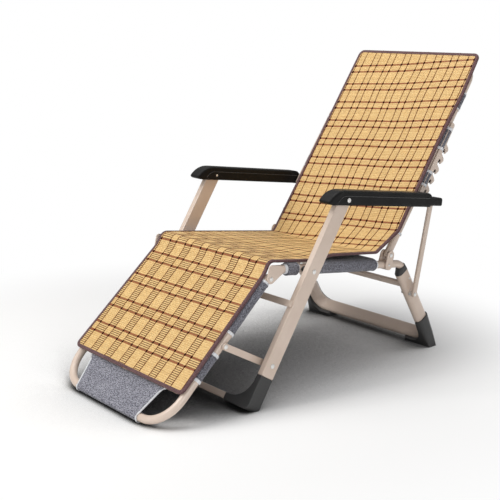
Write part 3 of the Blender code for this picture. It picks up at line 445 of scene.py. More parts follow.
def slat_finish():
    """Polished bamboo: light slats, brown slats in pairs, and fields that are plain or lined in turn, the
    lined ones with painted shade at the slats' rims.
    """
    wood = Finish("bamboo_slat", roughness=0.38)
    wood.shader.inputs["Coat Weight"].default_value = 0.15
    wood.shader.inputs["Coat Roughness"].default_value = 0.3
    place = wood.place()
    grain = wood.noise(wood.scaled(place, (14.0, 260.0, 260.0)), 1.0, 4.0)
    speckle = wood.noise(place, 170.0, 3.0)
    shade = wood.attribute("shade")
    stripe = wood.attribute("stripe")
    between = wood.attribute("between")
    back = wood.attribute("back")
    rim = wood.attribute("rim")
    honey, straw = (0.700, 0.450, 0.180), (0.800, 0.535, 0.225)
    vein, fleck = (0.640, 0.390, 0.140), (0.880, 0.640, 0.300)
    dark_brown, light_brown = (0.200, 0.045, 0.012), (0.380, 0.110, 0.030)
    gap_shade_brown = (0.130, 0.040, 0.012)
    tone = wood.mix(shade, honey, straw)
    tone = wood.mix(wood.ramp(grain, 0.35, 0.7, 0.0, 0.35), tone, vein)
    tone = wood.mix(wood.ramp(speckle, 0.42, 0.62, 0.0, 0.55), tone, fleck)
    # Painted shade: in the lined fields the slats' rims darken to a dark brown, standing for shade in the
    # gaps between slats; the layout of lined and plain fields is the mat's own pattern, and the shade is
    # strong on the leg, weak on the back, with a trace on every slat
    x = wood.node("ShaderNodeSeparateXYZ")
    wood.link(place, x.inputs["Vector"])
    period = wood.math("ADD", wood.math("MULTIPLY", back, COLUMN_BACK - COLUMN_LEG), COLUMN_LEG)
    turn = wood.math("DIVIDE", wood.math("SUBTRACT", x.outputs["X"], COLUMN_MIDDLE), period)
    offset = wood.math("ABSOLUTE", wood.math("SUBTRACT", turn, wood.math("ROUND", turn)))
    narrow = wood.ramp(offset, COLUMN_SHARE - 0.01, COLUMN_SHARE + 0.01, 1.0, 0.0)
    differ = wood.math("ABSOLUTE", wood.math("SUBTRACT", narrow, between))
    lined = wood.math("MULTIPLY", differ, wood.ramp(back, 0.0, 0.22, 0.95, 0.12))
    lined = wood.math("ADD", lined, 0.03)
    tone = wood.mix(wood.math("MULTIPLY", lined, wood.ramp(rim, 0.30, 0.85)), tone, gap_shade_brown)
    brown = wood.math("MULTIPLY", stripe, wood.ramp(rim, 0.3, 1.0, 0.97, 0.50))
    wood.colour(wood.mix(brown, tone, wood.mix(speckle, dark_brown, light_brown)))
    wood.bump(grain, 0.0002, 0.5)
    return wood.material


# Meshes
def around(count):
    """Cosine and sine of equal steps round a circle."""
    return [(cos(2 * pi * k / count), sin(2 * pi * k / count)) for k in range(count)]


def smooth_piece(obj):
    """Smooth shading with sharp edges."""
    obj.data.shade_smooth()
    obj.data.set_sharp_from_angle(angle=radians(SHARP_ANGLE))
    return obj


def new_object(name, bm):
    """A new object from a finished bmesh."""
    bmesh.ops.recalc_face_normals(bm, faces=bm.faces)
    mesh = bpy.data.meshes.new(name)
    bm.to_mesh(mesh)
    bm.free()
    obj = bpy.data.objects.new(name, mesh)
    bpy.context.scene.collection.objects.link(obj)
    return obj


def mesh_piece(name, bm, finish):
    """A visible piece from a finished bmesh."""
    obj = new_object(name, bm)
    obj.data.materials.append(finish)
    return smooth_piece(obj)


def skin(bm, rings, closed_path=False):
    """Faces between rings of points, with end caps on an open path."""
    loops = [[bm.verts.new(p) for p in ring] for ring in rings]
    count = len(loops[0])
    pairs = list(zip(loops, loops[1:]))
    if closed_path:
        pairs.append((loops[-1], loops[0]))
    for a, b in pairs:
        for i in range(count):
            j = (i + 1) % count
            bm.faces.new((a[i], a[j], b[j], b[i]))
    if not closed_path:
        bm.faces.new(loops[0][::-1])
        bm.faces.new(loops[-1])
    return loops


def round_strip(bm, points, radius, sides):
    """Thin round strip along points."""
    rings = []
    for i, p in enumerate(points):
        along = (points[min(i + 1, len(points) - 1)] - points[max(i - 1, 0)]).normalized()
        a = along.orthogonal().normalized()
        b = along.cross(a)
        rings.append([p + (a * c + b * s) * radius for c, s in around(sides)])
    skin(bm, rings)


# Repeated pieces
def repeat_tree():
    """Geometry Nodes: one piece on every point, turned and sized by the points, as one real mesh."""
    tree = bpy.data.node_groups.new("repeat_piece", "GeometryNodeTree")
    sockets = tree.interface
    sockets.new_socket("Points", in_out="INPUT", socket_type="NodeSocketGeometry")
    sockets.new_socket("Piece", in_out="INPUT", socket_type="NodeSocketObject")
    sockets.new_socket("Finish", in_out="INPUT", socket_type="NodeSocketMaterial")
    sockets.new_socket("Seed", in_out="INPUT", socket_type="NodeSocketInt")
    sockets.new_socket("Result", in_out="OUTPUT", socket_type="NodeSocketGeometry")

    def add(kind, **values):
        made = tree.nodes.new(kind)
        for key, value in values.items():
            setattr(made, key, value)
        return made

    def named(name):
        made = add("GeometryNodeInputNamedAttribute", data_type="FLOAT_VECTOR")
        made.inputs["Name"].default_value = name
        return made.outputs["Attribute"]

    given = add("NodeGroupInput")
    result = add("NodeGroupOutput")
    source = add("GeometryNodeObjectInfo")
    place = add("GeometryNodeInstanceOnPoints")
    shade = add("GeometryNodeStoreNamedAttribute", data_type="FLOAT", domain="INSTANCE")
    chance = add("FunctionNodeRandomValue", data_type="FLOAT")
    real = add("GeometryNodeRealizeInstances")
    paint = add("GeometryNodeSetMaterial")
    shade.inputs["Name"].default_value = "shade"
    link = tree.links.new
    link(given.outputs["Points"], place.inputs["Points"])
    link(given.outputs["Piece"], source.inputs["Object"])
    link(source.outputs["Geometry"], place.inputs["Instance"])
    link(named("turn"), place.inputs["Rotation"])
    link(named("size"), place.inputs["Scale"])
    link(given.outputs["Seed"], chance.inputs["Seed"])
    link(place.outputs["Instances"], shade.inputs["Geometry"])
    link(chance.outputs[1], shade.inputs["Value"])
    link(shade.outputs["Geometry"], real.inputs["Geometry"])
    link(real.outputs["Geometry"], paint.inputs["Geometry"])
    link(given.outputs["Finish"], paint.inputs["Material"])
    link(paint.outputs["Geometry"], result.inputs["Result"])
    return tree


REPEAT = repeat_tree()


def repeated(name, pattern, places, finish, seed, numbers=None):
    """One mesh of a pattern piece set at every place, given as (point, x axis, z axis, size)."""
    mesh = bpy.data.meshes.new(name + "_points")
    mesh.from_pydata([p[0] for p in places], [], [])
    turns = []
    for _, along, up, _ in places:
        x = Vector(along).normalized()
        z = (Vector(up) - x * x.dot(Vector(up))).normalized()
        turns += list(Matrix((x, z.cross(x), z)).transposed().to_euler())
    for key, values in (("turn", turns), ("size", [c for p in places for c in p[3]])):
        mesh.attributes.new(key, "FLOAT_VECTOR", "POINT").data.foreach_set("vector", values)
    for key, values in (numbers or {}).items():
        mesh.attributes.new(key, "FLOAT", "POINT").data.foreach_set("value", values)
    holder = bpy.data.objects.new(name, mesh)
    bpy.context.scene.collection.objects.link(holder)
    modifier = holder.modifiers.new("repeat", "NODES")
    modifier.node_group = REPEAT
    inputs = {s.name: s.identifier for s in REPEAT.interface.items_tree if s.in_out == "INPUT"}
    modifier[inputs["Piece"]] = pattern
    modifier[inputs["Finish"]] = finish
    modifier[inputs["Seed"]] = seed
    bpy.context.view_layer.update()
    depsgraph = bpy.context.evaluated_depsgraph_get()
    made = bpy.data.meshes.new_from_object(holder.evaluated_get(depsgraph))
    made.name = name
    holder.modifiers.remove(modifier)
    holder.data = made
    bpy.data.meshes.remove(mesh)
    return smooth_piece(holder)


def slat_pattern():
    """One slat along X, one metre long, with a flat underside and a round top, its rims marked."""
    half = SLAT_PITCH * SLAT_HALF_SHARE
    section = [(-half, 0.0, 1.0), (-half, 0.60, 1.0), (-half * 0.76, 0.92, 0.75), (-half * 0.3, 1.0, 0.0),
               (half * 0.3, 1.0, 0.0), (half * 0.76, 0.92, 0.75), (half, 0.60, 1.0), (half, 0.0, 1.0)]
    bm = bmesh.new()
    rim = bm.verts.layers.float.new("rim")
    rings = []
    for x in np.linspace(-0.5, 0.5, 11):
        rings.append([Vector((x, y, z * SLAT_THICK)) for y, z, _ in section])
    for loop in skin(bm, rings):
        for vert, (_, _, mark) in zip(loop, section):
            vert[rim] = mark
    return new_object("slat_pattern", bm)


def stitch_pattern():
    """One thread stitch along X, thick in the middle and sunk at both ends."""
    bm = bmesh.new()
    rings = []
    for t in np.linspace(0.0, 1.0, 5):
        lift = sin(pi * t)
        radius = 0.55 + 0.45 * lift
        ring = [(t - 0.5, 0.5 * c * radius, (s * radius + lift - 0.6) * 0.5) for c, s in around(6)]
        rings.append([Vector(point) for point in ring])
    skin(bm, rings)
    return new_object("stitch_pattern", bm)


def rivet_pattern():
    """Domed rivet head on a thin washer, its axis along Z and one metre across."""
    profile = [(0.5, 0.0), (0.5, 0.07), (0.44, 0.10), (0.36, 0.11), (0.34, 0.18), (0.24, 0.27), (0.12, 0.31)]
    bm = bmesh.new()
    skin(bm, [[Vector((r * c, r * s, z)) for c, s in around(16)] for r, z in profile])
    return new_object("rivet_pattern", bm)


def tape_pattern():
    """Band round the tube at a sleeve's end, its axis along X and its inner radius 1."""
    bm = bmesh.new()
    skin(bm, [[Vector((x, r * c, r * s)) for c, s in around(24)] for x, r in TAPE_PROFILE], closed_path=True)
    return new_object("tape_pattern", bm)


# The mat's line in the side view
def rounded_line(corners, radii):
    """Side-view polyline with its inner corners turned into arcs."""
    points = [corners[0]]
    for before, corner, after, radius in zip(corners, corners[1:], corners[2:], radii):
        inward = (before - corner).normalized()
        outward = (after - corner).normalized()
        half = inward.angle(outward) / 2
        reach = radius / tan(half)
        middle = corner + (inward + outward).normalized() * (radius / sin(half))
        start = corner + inward * reach - middle
        end = corner + outward * reach - middle
        full = start.angle(end)
        for i in range(ARC_STEPS + 1):
            a = full * i / ARC_STEPS
            points.append(middle + (start * sin(full - a) + end * sin(a)) / sin(full))
    points.append(corners[-1])
    return points


def crossing(a, a_dir, b, b_dir):
    """Where two side-view lines meet."""
    d = b - a
    across = a_dir.x * b_dir.y - a_dir.y * b_dir.x
    return a + a_dir * ((d.x * b_dir.y - d.y * b_dir.x) / across)


class MatLine:
    """Underside of one edge of the mat, from the foot end over knee and seat to the top of the back."""

    def __init__(self, corners, radii):
        points = np.array([tuple(p) for p in rounded_line(corners, radii)])
        reach = np.concatenate([[0.0], np.cumsum(np.hypot(*np.diff(points, axis=0).T))])
        self.length = reach[-1]
        self.s = np.linspace(0.0, self.length, LINE_POINTS)
        self.points = np.array([np.interp(self.s, reach, points[:, i]) for i in (0, 1)])
        soft = np.ones(SOFT_POINTS) / SOFT_POINTS
        ahead = [np.pad(row, SOFT_POINTS // 2, "edge") for row in np.gradient(self.points, axis=1)]
        ahead = np.array([np.convolve(row, soft, "valid") for row in ahead])
        self.along = ahead / np.hypot(*ahead)
        self.stations = [0.0, *(self.nearest(p) for p in STATIONS), self.length]

    def nearest(self, point):
        """Distance along the line of the place nearest to a side-view point."""
        return self.s[np.argmin(np.hypot(self.points[0] - point.x, self.points[1] - point.y))]

    def sample(self, s):
        """Places and directions at distances s."""
        return np.array([np.interp(s, self.s, row) for row in (*self.points, *self.along)])


LOW = SLEEVE_R + GAP
SEAT_LOW = SEAT_SLEEVE_R + GAP
foot_end = knee_pivot + foot_dir * MAT_FOOT_END + foot_up * LOW
shoulder = knee_pivot + foot_up * LOW
knee = FOLD_PIVOT - seat_dir * KNEE_BEND_AT + seat_up * (SEAT_LOW + KNEE_BEND_RISE)
crease = crossing(FOLD_PIVOT + seat_up * SEAT_LOW, seat_dir, back_pivot + back_up * LOW, back_dir)
mat_top = back_pivot + back_dir * MAT_TOP_END + back_up * LOW
lift_start = crease - seat_dir * LIFT_BEFORE
lift_end = crease + back_dir * LIFT_AFTER
lift_corners = [crease - seat_dir * before + seat_up * rise for before, rise in LIFT_CORNERS]
back_places = [back_pivot + back_dir * t + back_up * LOW for t in BACK_STATIONS]
STATIONS = (knee, lift_start, crease, lift_end, *back_places)
line = MatLine([foot_end, shoulder, knee, crease, mat_top], FAR_BENDS)
near_line = MatLine([foot_end, shoulder, knee, lift_start, *lift_corners, lift_end, mat_top], NEAR_BENDS)
KNEE_AT = line.stations[1]
CREASE_AT = line.stations[3]
SLAT_COUNT = int(line.length / SLAT_PITCH)
MIDDLE_SLAT = int((KNEE_AT + CREASE_AT) / 2 / SLAT_PITCH)


def mat_edges(s):
    """World x of the mat's far and near edge."""
    return np.interp(s, line.stations, MAT_FAR), np.interp(s, line.stations, MAT_NEAR)


def back_share(s):
    """0 on the leg, 1 on the back, eased over the seat."""
    t = np.clip((s - KNEE_AT) / (CREASE_AT + BACK_EASE - KNEE_AT), 0.0, 1.0)
    return t * t * (3 - 2 * t)


def drift(x, s):
    """Small wander of slats and threads, across and along, none at the edges and the top."""
    inner = back_share(s) * (1 - (x / MAT_HALF) ** 2) * np.clip((line.length - s) / DRIFT_FADE, 0.0, 1.0)
    aside = DRIFT_ACROSS * inner * np.sin(ACROSS_WAVE[0] * s + ACROSS_WAVE[1] * x)
    ahead = DRIFT_ALONG * inner * np.sin(ALONG_WAVE[0] * s + ALONG_WAVE[1] * x)
    return aside, ahead


def lay(x, s, lift):
    """World places of flat places, from arrays of x, distance along the mat and height."""
    aside, ahead = drift(x, s)
    x, s = x + aside, s + ahead
    across = (x / MAT_HALF + 1) / 2
    far = line.sample(s)
    near = near_line.sample(np.interp(s, line.stations, near_line.stations))
    y, z, ahead_y, ahead_z = far + (near - far) * across
    window = np.clip(np.minimum(s, line.length - s) / HOLLOW_FADE, 0.0, 1.0)
    hollow = (HOLLOW_LEG + HOLLOW_BACK_MORE * back_share(s)) * (1 - (x / MAT_HALF) ** 2) * window
    height = lift - hollow
    far_x, near_x = mat_edges(s)
    return np.stack([far_x + (near_x - far_x) * across, y - ahead_z * height, z + ahead_y * height], axis=1)


def laid(obj):
    """Carries a piece built flat, as x, distance along the mat and height, onto the mat's line."""
    flat = np.empty(len(obj.data.vertices) * 3)
    obj.data.vertices.foreach_get("co", flat)
    flat = flat.reshape(-1, 3)
    placed = lay(flat[:, 0], np.clip(flat[:, 1], 0.0, line.length), flat[:, 2])
    obj.data.vertices.foreach_set("co", placed.ravel())
    obj.data.update()
    return obj


# The mat's pattern, measured flat
def skew(s):
    """How far a slat runs along the mat for each metre across."""
    return SKEW_LEG + (SKEW_BACK - SKEW_LEG) * back_share(s)


def row_middles():
    """Distance along the mat of the middle of each pair of brown slats."""
    back_top = line.nearest(back_pivot + back_dir * LAST_ROW_BACK)
    leg_first = line.nearest(knee_pivot + foot_dir * FIRST_ROW_LEG)
    leg = [leg_first + ROW_LEG * i for i in range(LEG_ROWS)]
    back = [back_top - ROW_BACK * i for i in range(BACK_ROWS)][::-1]
    gaps = round((back[0] - leg[-1]) / ((ROW_LEG + ROW_BACK) / 2))
    seat = [leg[-1] + (back[0] - leg[-1]) * i / gaps for i in range(1, gaps)]
    return leg + seat + back


def slat_roles():
    """For each slat whether it is brown and whether it lies between the two of a pair."""
    stripe = [0.0] * SLAT_COUNT
    between = [0.0] * SLAT_COUNT
    for middle in row_middles():
        wide = PAIR_LEG if back_share(middle) < PAIR_CHANGE else PAIR_BACK
        low = round(middle / SLAT_PITCH - wide / 2)
        for i in (low, low + wide):
            stripe[i] = 1.0
        for i in range(low + 1, low + wide):
            between[i] = 1.0
    return stripe, between


def column_lines(s):
    """Flat x of each lengthwise thread line at s."""
    period = COLUMN_LEG + (COLUMN_BACK - COLUMN_LEG) * back_share(s)
    far, near = mat_edges(s)
    lines = []
    for i in range(-COLUMNS_EACH_WAY, COLUMNS_EACH_WAY):
        for side in (-1, 1):
            x = COLUMN_MIDDLE + period * (i + side * COLUMN_SHARE)
            lines.append(MAT_HALF * (2 * (x - far) / (near - far) - 1))
    return [x for x in lines if abs(x) < MAT_HALF - BINDING_WIDTH]


def half_width(s):
    """Half the width that slats and backing fill at s, inside the bound edge and its round corners."""
    radius = MAT_CORNER_R + BINDING_WIDTH / 2
    from_end = min(s, line.length - s) - EDGE_INSET
    short = max(0.0, radius - max(0.0, from_end))
    corner_cut = radius - (radius * radius - short * short) ** 0.5
    return MAT_HALF - EDGE_INSET - corner_cut


def slats_and_threads(name, first, last, bamboo, thread):
    """One half's slats, and the stitches that lace them, knotted on the brown ones."""
    stripe, between = slat_roles()
    places, stitches, knots = [], [], []
    numbers = {"stripe": [], "between": [], "back": []}
    upright = (0, 0, 1)
    top = BACKING_THICK + GAP + SLAT_THICK
    reach = MAT_HALF - EDGE_INSET
    spare = int(reach * SKEW_BACK / SLAT_PITCH) + 1
    low_row = first - 1 if first == 0 else first
    high_row = last + spare if last == SLAT_COUNT else last
    for i in range(low_row, high_row):
        s = (i + 0.5) * SLAT_PITCH
        lean = skew(s)
        low_x = max(-half_width(s - lean * reach), (EDGE_INSET - s) / lean)
        high_x = min(half_width(s + lean * reach), (line.length - EDGE_INSET - s) / lean)
        if high_x - low_x < EDGE_INSET:
            continue
        middle = (low_x + high_x) / 2
        share = float(back_share(s))
        places.append(((middle, s + lean * middle, BACKING_THICK + GAP), (1, lean, 0), upright,
                       ((high_x - low_x) * (1 + lean * lean) ** 0.5, 1, 1)))
        brown = stripe[i] if 0 <= i < SLAT_COUNT else 0.0
        numbers["stripe"].append(brown)
        numbers["between"].append(between[i] if 0 <= i < SLAT_COUNT else 0.0)
        numbers["back"].append(share)
        length = SLAT_PITCH * (STITCH_LEG + STITCH_BACK_MORE * share)
        width = KNOT_WIDTH if brown else THREAD_WIDTH
        for x in column_lines(s):
            if low_x < x < high_x:
                stitches.append(((x, s + lean * x, top), (0, 1, 0), upright, (length, width, THREAD_HEIGHT)))
                knots.append(brown)
    slats = laid(repeated(name + "_slats", SLAT, places, bamboo, 3, numbers))
    threads = laid(repeated(name + "_threads", STITCH, stitches, thread, 5, {"knot": knots}))
    return slats, threads


def mat_backing(name, start, end, cloth):
    """Cloth under one half's slats."""
    rings = []
    for s in np.linspace(start, end, int((end - start) / MAT_STEP)):
        across = np.linspace(-1.0, 1.0, 9) * half_width(s)
        under = [Vector((x, s, BACKING_RISE)) for x in across]
        rings.append(under + [Vector((x, s, BACKING_THICK)) for x in across[::-1]])
    bm = bmesh.new()
    skin(bm, rings)
    return laid(mesh_piece(name, bm, cloth))


def binding(name, start, end, tape):
    """Folded tape round the edge of one half: down both sides and across its free end."""
    free, joint = (start, end) if start == 0.0 else (end, start)
    inward = 1 if joint > free else -1
    free += inward * BINDING_WIDTH / 2
    side = MAT_HALF - BINDING_WIDTH / 2
    radius = MAT_CORNER_R
    straight = np.linspace(joint, free + inward * radius, int(abs(joint - free) / MAT_STEP))
    near_side = [(side, s) for s in straight]
    for a in (pi / 2 * i / 6 for i in range(1, 6)):
        near_side.append((side - radius * (1 - cos(a)), free + inward * radius * (1 - sin(a))))
    across_end = [(x, free) for x in np.linspace(side - radius, radius - side, 40)]
    path = near_side + across_end + [(-x, s) for x, s in near_side[::-1]]
    section = [(-0.5, -0.5), (0.28, -0.5), (0.44, -0.36), (0.5, -0.12), (0.5, 0.12),
               (0.44, 0.36), (0.28, 0.5), (-0.5, 0.5), (-0.54, 0.36), (-0.54, -0.36)]
    points = [Vector((x, s, MAT_T / 2)) for x, s in path]
    rings = []
    for i, p in enumerate(points):
        along = (points[min(i + 1, len(path) - 1)] - points[max(i - 1, 0)]).normalized()
        out = Vector((along.y, -along.x, 0.0)) * -inward
        rings.append([p + out * (u * BINDING_WIDTH) + Vector((0.0, 0.0, v * BINDING_THICK))
                      for u, v in section])
    bm = bmesh.new()
    skin(bm, rings)
    return laid(mesh_piece(name, bm, tape))


def mat_half(name, first, last, finishes):
    """Slats, threads, backing and binding of one half of the mat, fixed where they lie; returns the backing.
    """
    bamboo, thread, tape, cloth = finishes
    start = 0.0 if first == 0 else first * SLAT_PITCH
    end = line.length if last == SLAT_COUNT else last * SLAT_PITCH
    slats, threads = slats_and_threads(name, first, last, bamboo, thread)
    backing = mat_backing(name + "_backing", start, end, cloth)
    edge = binding(name + "_binding", start, end, tape)
    for piece in (slats, threads, backing, edge):
        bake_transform(piece)
    return backing


# Slings
def plain_half(_):
    """Half width of a sling that keeps its width."""
    return SLING_HALF


def foot_half(t):
    """Half width of the footrest's sling, drawn in towards its end."""
    if t < DRAW_IN_AT:
        return SLING_HALF
    if t < END_PANEL_TOP_AT:
        share = (t - DRAW_IN_AT) / (END_PANEL_TOP_AT - DRAW_IN_AT)
        return SLING_HALF + (END_PANEL_TOP_HALF - SLING_HALF) * share
    share = (t - END_PANEL_TOP_AT) / (FOOT_LENGTH - END_PANEL_TOP_AT)
    return END_PANEL_TOP_HALF + (END_PANEL_HALF - END_PANEL_TOP_HALF) * share


# One sling: where it lies and what it is sewn round. Distances run from its pivot. Of its sleeves, given as
# (start, end), the first few go over the hooked plate. Its white bands are given as (distance, width).
Sling = namedtuple("Sling", "name node body tubes origin along up radius half_at span seam sag "
                            "sleeves over_plate bands")
SLINGS = (
    Sling("seat_sling", "sling_seat", "seat_frame", ("seat_tube_l", "seat_tube_r"),
          FOLD_PIVOT, seat_dir, seat_up, SEAT_SLEEVE_R, plain_half,
          span=(-0.092, 0.330), seam=(-0.088, 0.325), sag=0.014,
          sleeves=((-0.062, -0.022), (0.046, 0.324)), over_plate=0,
          bands=((-0.068, 0.010), (-0.040, 0.005), (-0.018, 0.006), (0.042, 0.006), (0.329, 0.010))),
    Sling("back_sling", "sling_back", "back", ("back_hoop",),
          back_pivot, back_dir, back_up, SLEEVE_R, plain_half,
          span=(0.060, BACK_LENGTH - 0.030), seam=(0.064, BACK_LENGTH - 0.034), sag=0.018,
          sleeves=((0.266, 0.304), (0.403, 0.468), (0.553, 0.606)), over_plate=2,
          bands=((0.078, 0.007), (0.550, 0.005), (0.609, 0.005))),
    Sling("foot_sling", "sling_foot", "footrest", ("footrest_hoop",),
          knee_pivot, foot_dir, foot_up, SLEEVE_R, foot_half,
          span=(0.030, FOOT_LENGTH - 0.0015), seam=(0.034, 0.355), sag=0.008,
          sleeves=((0.018, 0.192), (0.278, 0.355)), over_plate=0,
          bands=((0.016, 0.007), (0.197, 0.008), (0.273, 0.009), (0.360, 0.009))),
)


def tube_round(centre, up, side, radius, angle, outward):
    """A point round a side tube, further out on its outer side where cloth goes over a plate."""
    out = cos(angle) * radius
    if outward and cos(angle) > 0:
        above = min(1.0, max(0.0, sin(angle)) / BULGE_EASE)
        out += ((radius + outward) * cos(angle) ** 0.5 - out) * (1 - above * above * (3 - 2 * above))
    return centre + Vector((out * side, 0.0, 0.0)) + at(0.0, up) * (sin(angle) * radius)


def sleeve(bm, sling, side, start, end, seed, outward):
    """Cloth sleeve round a side tube, with a rolled hem at each end and slight pulls."""
    twist, shift = np.random.default_rng(seed).uniform(0, 2 * pi, 2)
    inner = TUBE_R + GAP
    radius = sling.radius
    steps = max(3, int((end - start) / SLEEVE_STEP))
    profile = [(start, inner)]
    profile += [(start + t, radius + rise) for t, rise in HEM]
    profile += [(t, radius - SLEEVE_DIP) for t in np.linspace(start + SLEEVE_STEP, end - SLEEVE_STEP, steps)]
    profile += [(end - t, radius + rise) for t, rise in HEM[::-1]]
    profile += [(end, inner)]
    rings = []
    for t, r in profile:
        centre = at(side * FRAME_HALF, sling.origin + sling.along * t)
        ring = []
        for k in range(SLEEVE_SIDES):
            a = 2 * pi * k / SLEEVE_SIDES
            pull = PULL * sin(PULLS_ROUND * a + twist + PULL_TWIST * t) * sin(PULL_WAVE * t + shift)
            reach = r + (pull if r > inner else 0.0)
            ring.append(tube_round(centre, sling.up, side, reach, a, outward))
        rings.append(ring)
    skin(bm, rings, closed_path=True)


def panel(bm, sling):
    """Stretched cloth between the sleeves, sagging in the middle and less towards its end."""
    start, end = sling.span
    rings = []
    for t in np.linspace(start, end, PANEL_ROWS):
        half = sling.half_at(t)
        slack = sling.sag * min(1.0, SAG_FADE * (end - t) / (end - start))
        top, low = [], []
        for x in np.linspace(-half, half, PANEL_COLUMNS):
            dip = slack * (1 - (x / half) ** 2)
            base = sling.origin + sling.along * t + sling.up * (sling.radius - GAP - dip)
            top.append(at(x, base))
            low.append(at(x, base - sling.up * PANEL_THICK))
        rings.append(top + low[::-1])
    skin(bm, rings)


def sling_cloth(sling, grey, dark):
    """One panel with its sleeves, standing for its CAD node."""
    bm = bmesh.new()
    panel(bm, sling)
    cloth = mesh_piece(sling.name, bm, grey)
    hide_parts(sling.node)
    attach(cloth, sling.body)
    bm = bmesh.new()
    for side in (-1, 1):
        for i, (start, end) in enumerate(sling.sleeves):
            outward = PLATE_COVER if i < sling.over_plate else 0.0
            sleeve(bm, sling, side, start, end, 10 * i + side + 3, outward)
    rounds = mesh_piece(sling.name + "_sleeves", bm, dark)
    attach(rounds, sling.body)
    return cloth, rounds


def plate_tapes(white):
    """The bands at the ends of the sleeves that go over the hooked plates."""
    bm = bmesh.new()
    for side in (-1, 1):
        for t, width in PLATE_TAPES:
            rings = []
            for x, r in TAPE_PROFILE:
                centre = at(side * FRAME_HALF, back_pivot + back_dir * (t + x * width))
                reach = r * (TUBE_R + GAP)
                angles = [2 * pi * k / 32 for k in range(32)]
                rings.append([tube_round(centre, back_up, side, reach, a, PLATE_COVER) for a in angles])
            skin(bm, rings, closed_path=True)
    tapes = mesh_piece("back_plate_tapes", bm, white)
    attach(tapes, "back")
    return tapes


def foot_wrap(grey):
    """The end of the footrest's sling, wrapped round its bar."""
    bar = knee_pivot + foot_dir * FOOT_LENGTH
    inner = TUBE_R + GAP
    inside = END_PANEL_HALF - WRAP_EDGE
    profile = [(-END_PANEL_HALF, inner), (-END_PANEL_HALF, SLEEVE_R)]
    profile += [(x, SLEEVE_R) for x in np.linspace(-inside, inside, 40)]
    profile += [(END_PANEL_HALF, SLEEVE_R), (END_PANEL_HALF, inner)]
    rings = []
    for x, r in profile:
        angles = [360 * k / SLEEVE_SIDES for k in range(SLEEVE_SIDES)]
        rings.append([at(x, bar + unit(a) * r) for a in angles])
    bm = bmesh.new()
    skin(bm, rings, closed_path=True)
    wrap = mesh_piece("foot_wrap", bm, grey)
    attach(wrap, "footrest")
    return wrap


def foot_piping(white):
    """White piping down both edges of the end panel and round the bar."""
    bar = knee_pivot + foot_dir * FOOT_LENGTH
    rise = SLEEVE_R - GAP - PIPING_SINK
    bm = bmesh.new()
    for side in (-1, 1):
        edge = []
        for t in np.linspace(PIPING_FROM, FOOT_LENGTH, 12):
            edge.append(at(side * (foot_half(t) + PIPING_BESIDE), knee_pivot + foot_dir * t + foot_up * rise))
        for k in range(1, 13):
            a = FOOT_ANGLE - 90 + PIPING_TURN * k / 12
            round_bar = bar + unit(a) * (SLEEVE_R + PIPING_WRAP_RISE)
            edge.append(at(side * (END_PANEL_HALF + PIPING_WRAP_BESIDE), round_bar))
        round_strip(bm, edge, PIPING_R, 8)
    piping = mesh_piece("foot_piping", bm, white)
    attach(piping, "footrest")
    return piping


def white_bands(sling, white):
    """White bands round the side tubes at the ends of a sling's sleeves."""
    inner = TUBE_R + GAP
    places = []
    for side in (-1, 1):
        for t, width in sling.bands:
            spot = at(side * FRAME_HALF, sling.origin + sling.along * t)
            places.append((spot, at(0.0, sling.along), (1, 0, 0), (width, inner, inner)))
    bands = repeated(sling.body + "_tapes", TAPE, places, white, 7)
    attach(bands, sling.body)
    return bands


def seam_stitches(sling, thread):
    """A row of stitches down both sides of a sling."""
    rise = sling.radius - GAP + SEAM_RISE
    places = []
    for side in (-1, 1):
        for t in np.arange(*sling.seam, SEAM_PITCH):
            spot = at(side * (SLING_HALF - SEAM_INSET), sling.origin + sling.along * t + sling.up * rise)
            places.append((spot, at(0.0, sling.along), at(0.0, sling.up), SEAM_STITCH))
    stitches = repeated(sling.body + "_stitches", STITCH, places, thread, 9)
    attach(stitches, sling.body)
    return stitches


def slings(grey, dark, white, thread):
    """Seat, back and footrest slings with all that is sewn to them."""
    pieces = {sling.body: [*sling_cloth(sling, grey, dark)] for sling in SLINGS}
    pieces["back"].append(plate_tapes(white))
    pieces["footrest"] += [foot_wrap(grey), foot_piping(white)]
    for sling in SLINGS:
        pieces[sling.body].append(white_bands(sling, white))
    for sling in SLINGS:
        pieces[sling.body].append(seam_stitches(sling, thread))
    for sling in SLINGS:
        start, end = sling.span
        mean_half = float(np.mean([sling.half_at(t) for t in np.linspace(start, end, 200)]))


# Small hardware
def rivets(steel):
    """Small rivets that hold the legs' tubes and the saddle brackets, on both sides."""
    leg_x, leg_down, leg_back = LEG_RIVET
    saddle_x, saddle_at = SADDLE_RIVET
    in_leg = leg_mouth + leg_dir * leg_down + leg_rear * leg_back
    on_saddle = FOLD_PIVOT + seat_dir * saddle_at
    places = []
    for side in (-1, 1):
        for point, x in ((in_leg, leg_x), (on_saddle, saddle_x)):
            places.append((at(side * x, point), (0, 0, 1), (side, 0, 0), (RIVET_WIDTH,) * 3))
    heads = repeated("frame_rivets", RIVET, places, steel, 11)
    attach(heads, "seat_frame")


def arm_beads(plastic):
    """A moulded bead along each armrest's sides, under its soft top edge and falling at the front."""
    bm = bmesh.new()
    low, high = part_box("armrest_l")
    for x in (high[0], -high[0], low[0], -low[0]):
        path = []
        for t in np.linspace(*BEAD_REACH, 44):
            rise = BEAD_HEIGHT - BEAD_DROP * max(0.0, -t - BEAD_DROP_FROM) ** 2
            path.append(at(x, ARM_PIVOT + arm_dir * t + arm_up * rise))
        round_strip(bm, path, BEAD_R, 6)
    beads = mesh_piece("armrest_beads", bm, plastic)
    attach(beads, "armrests")


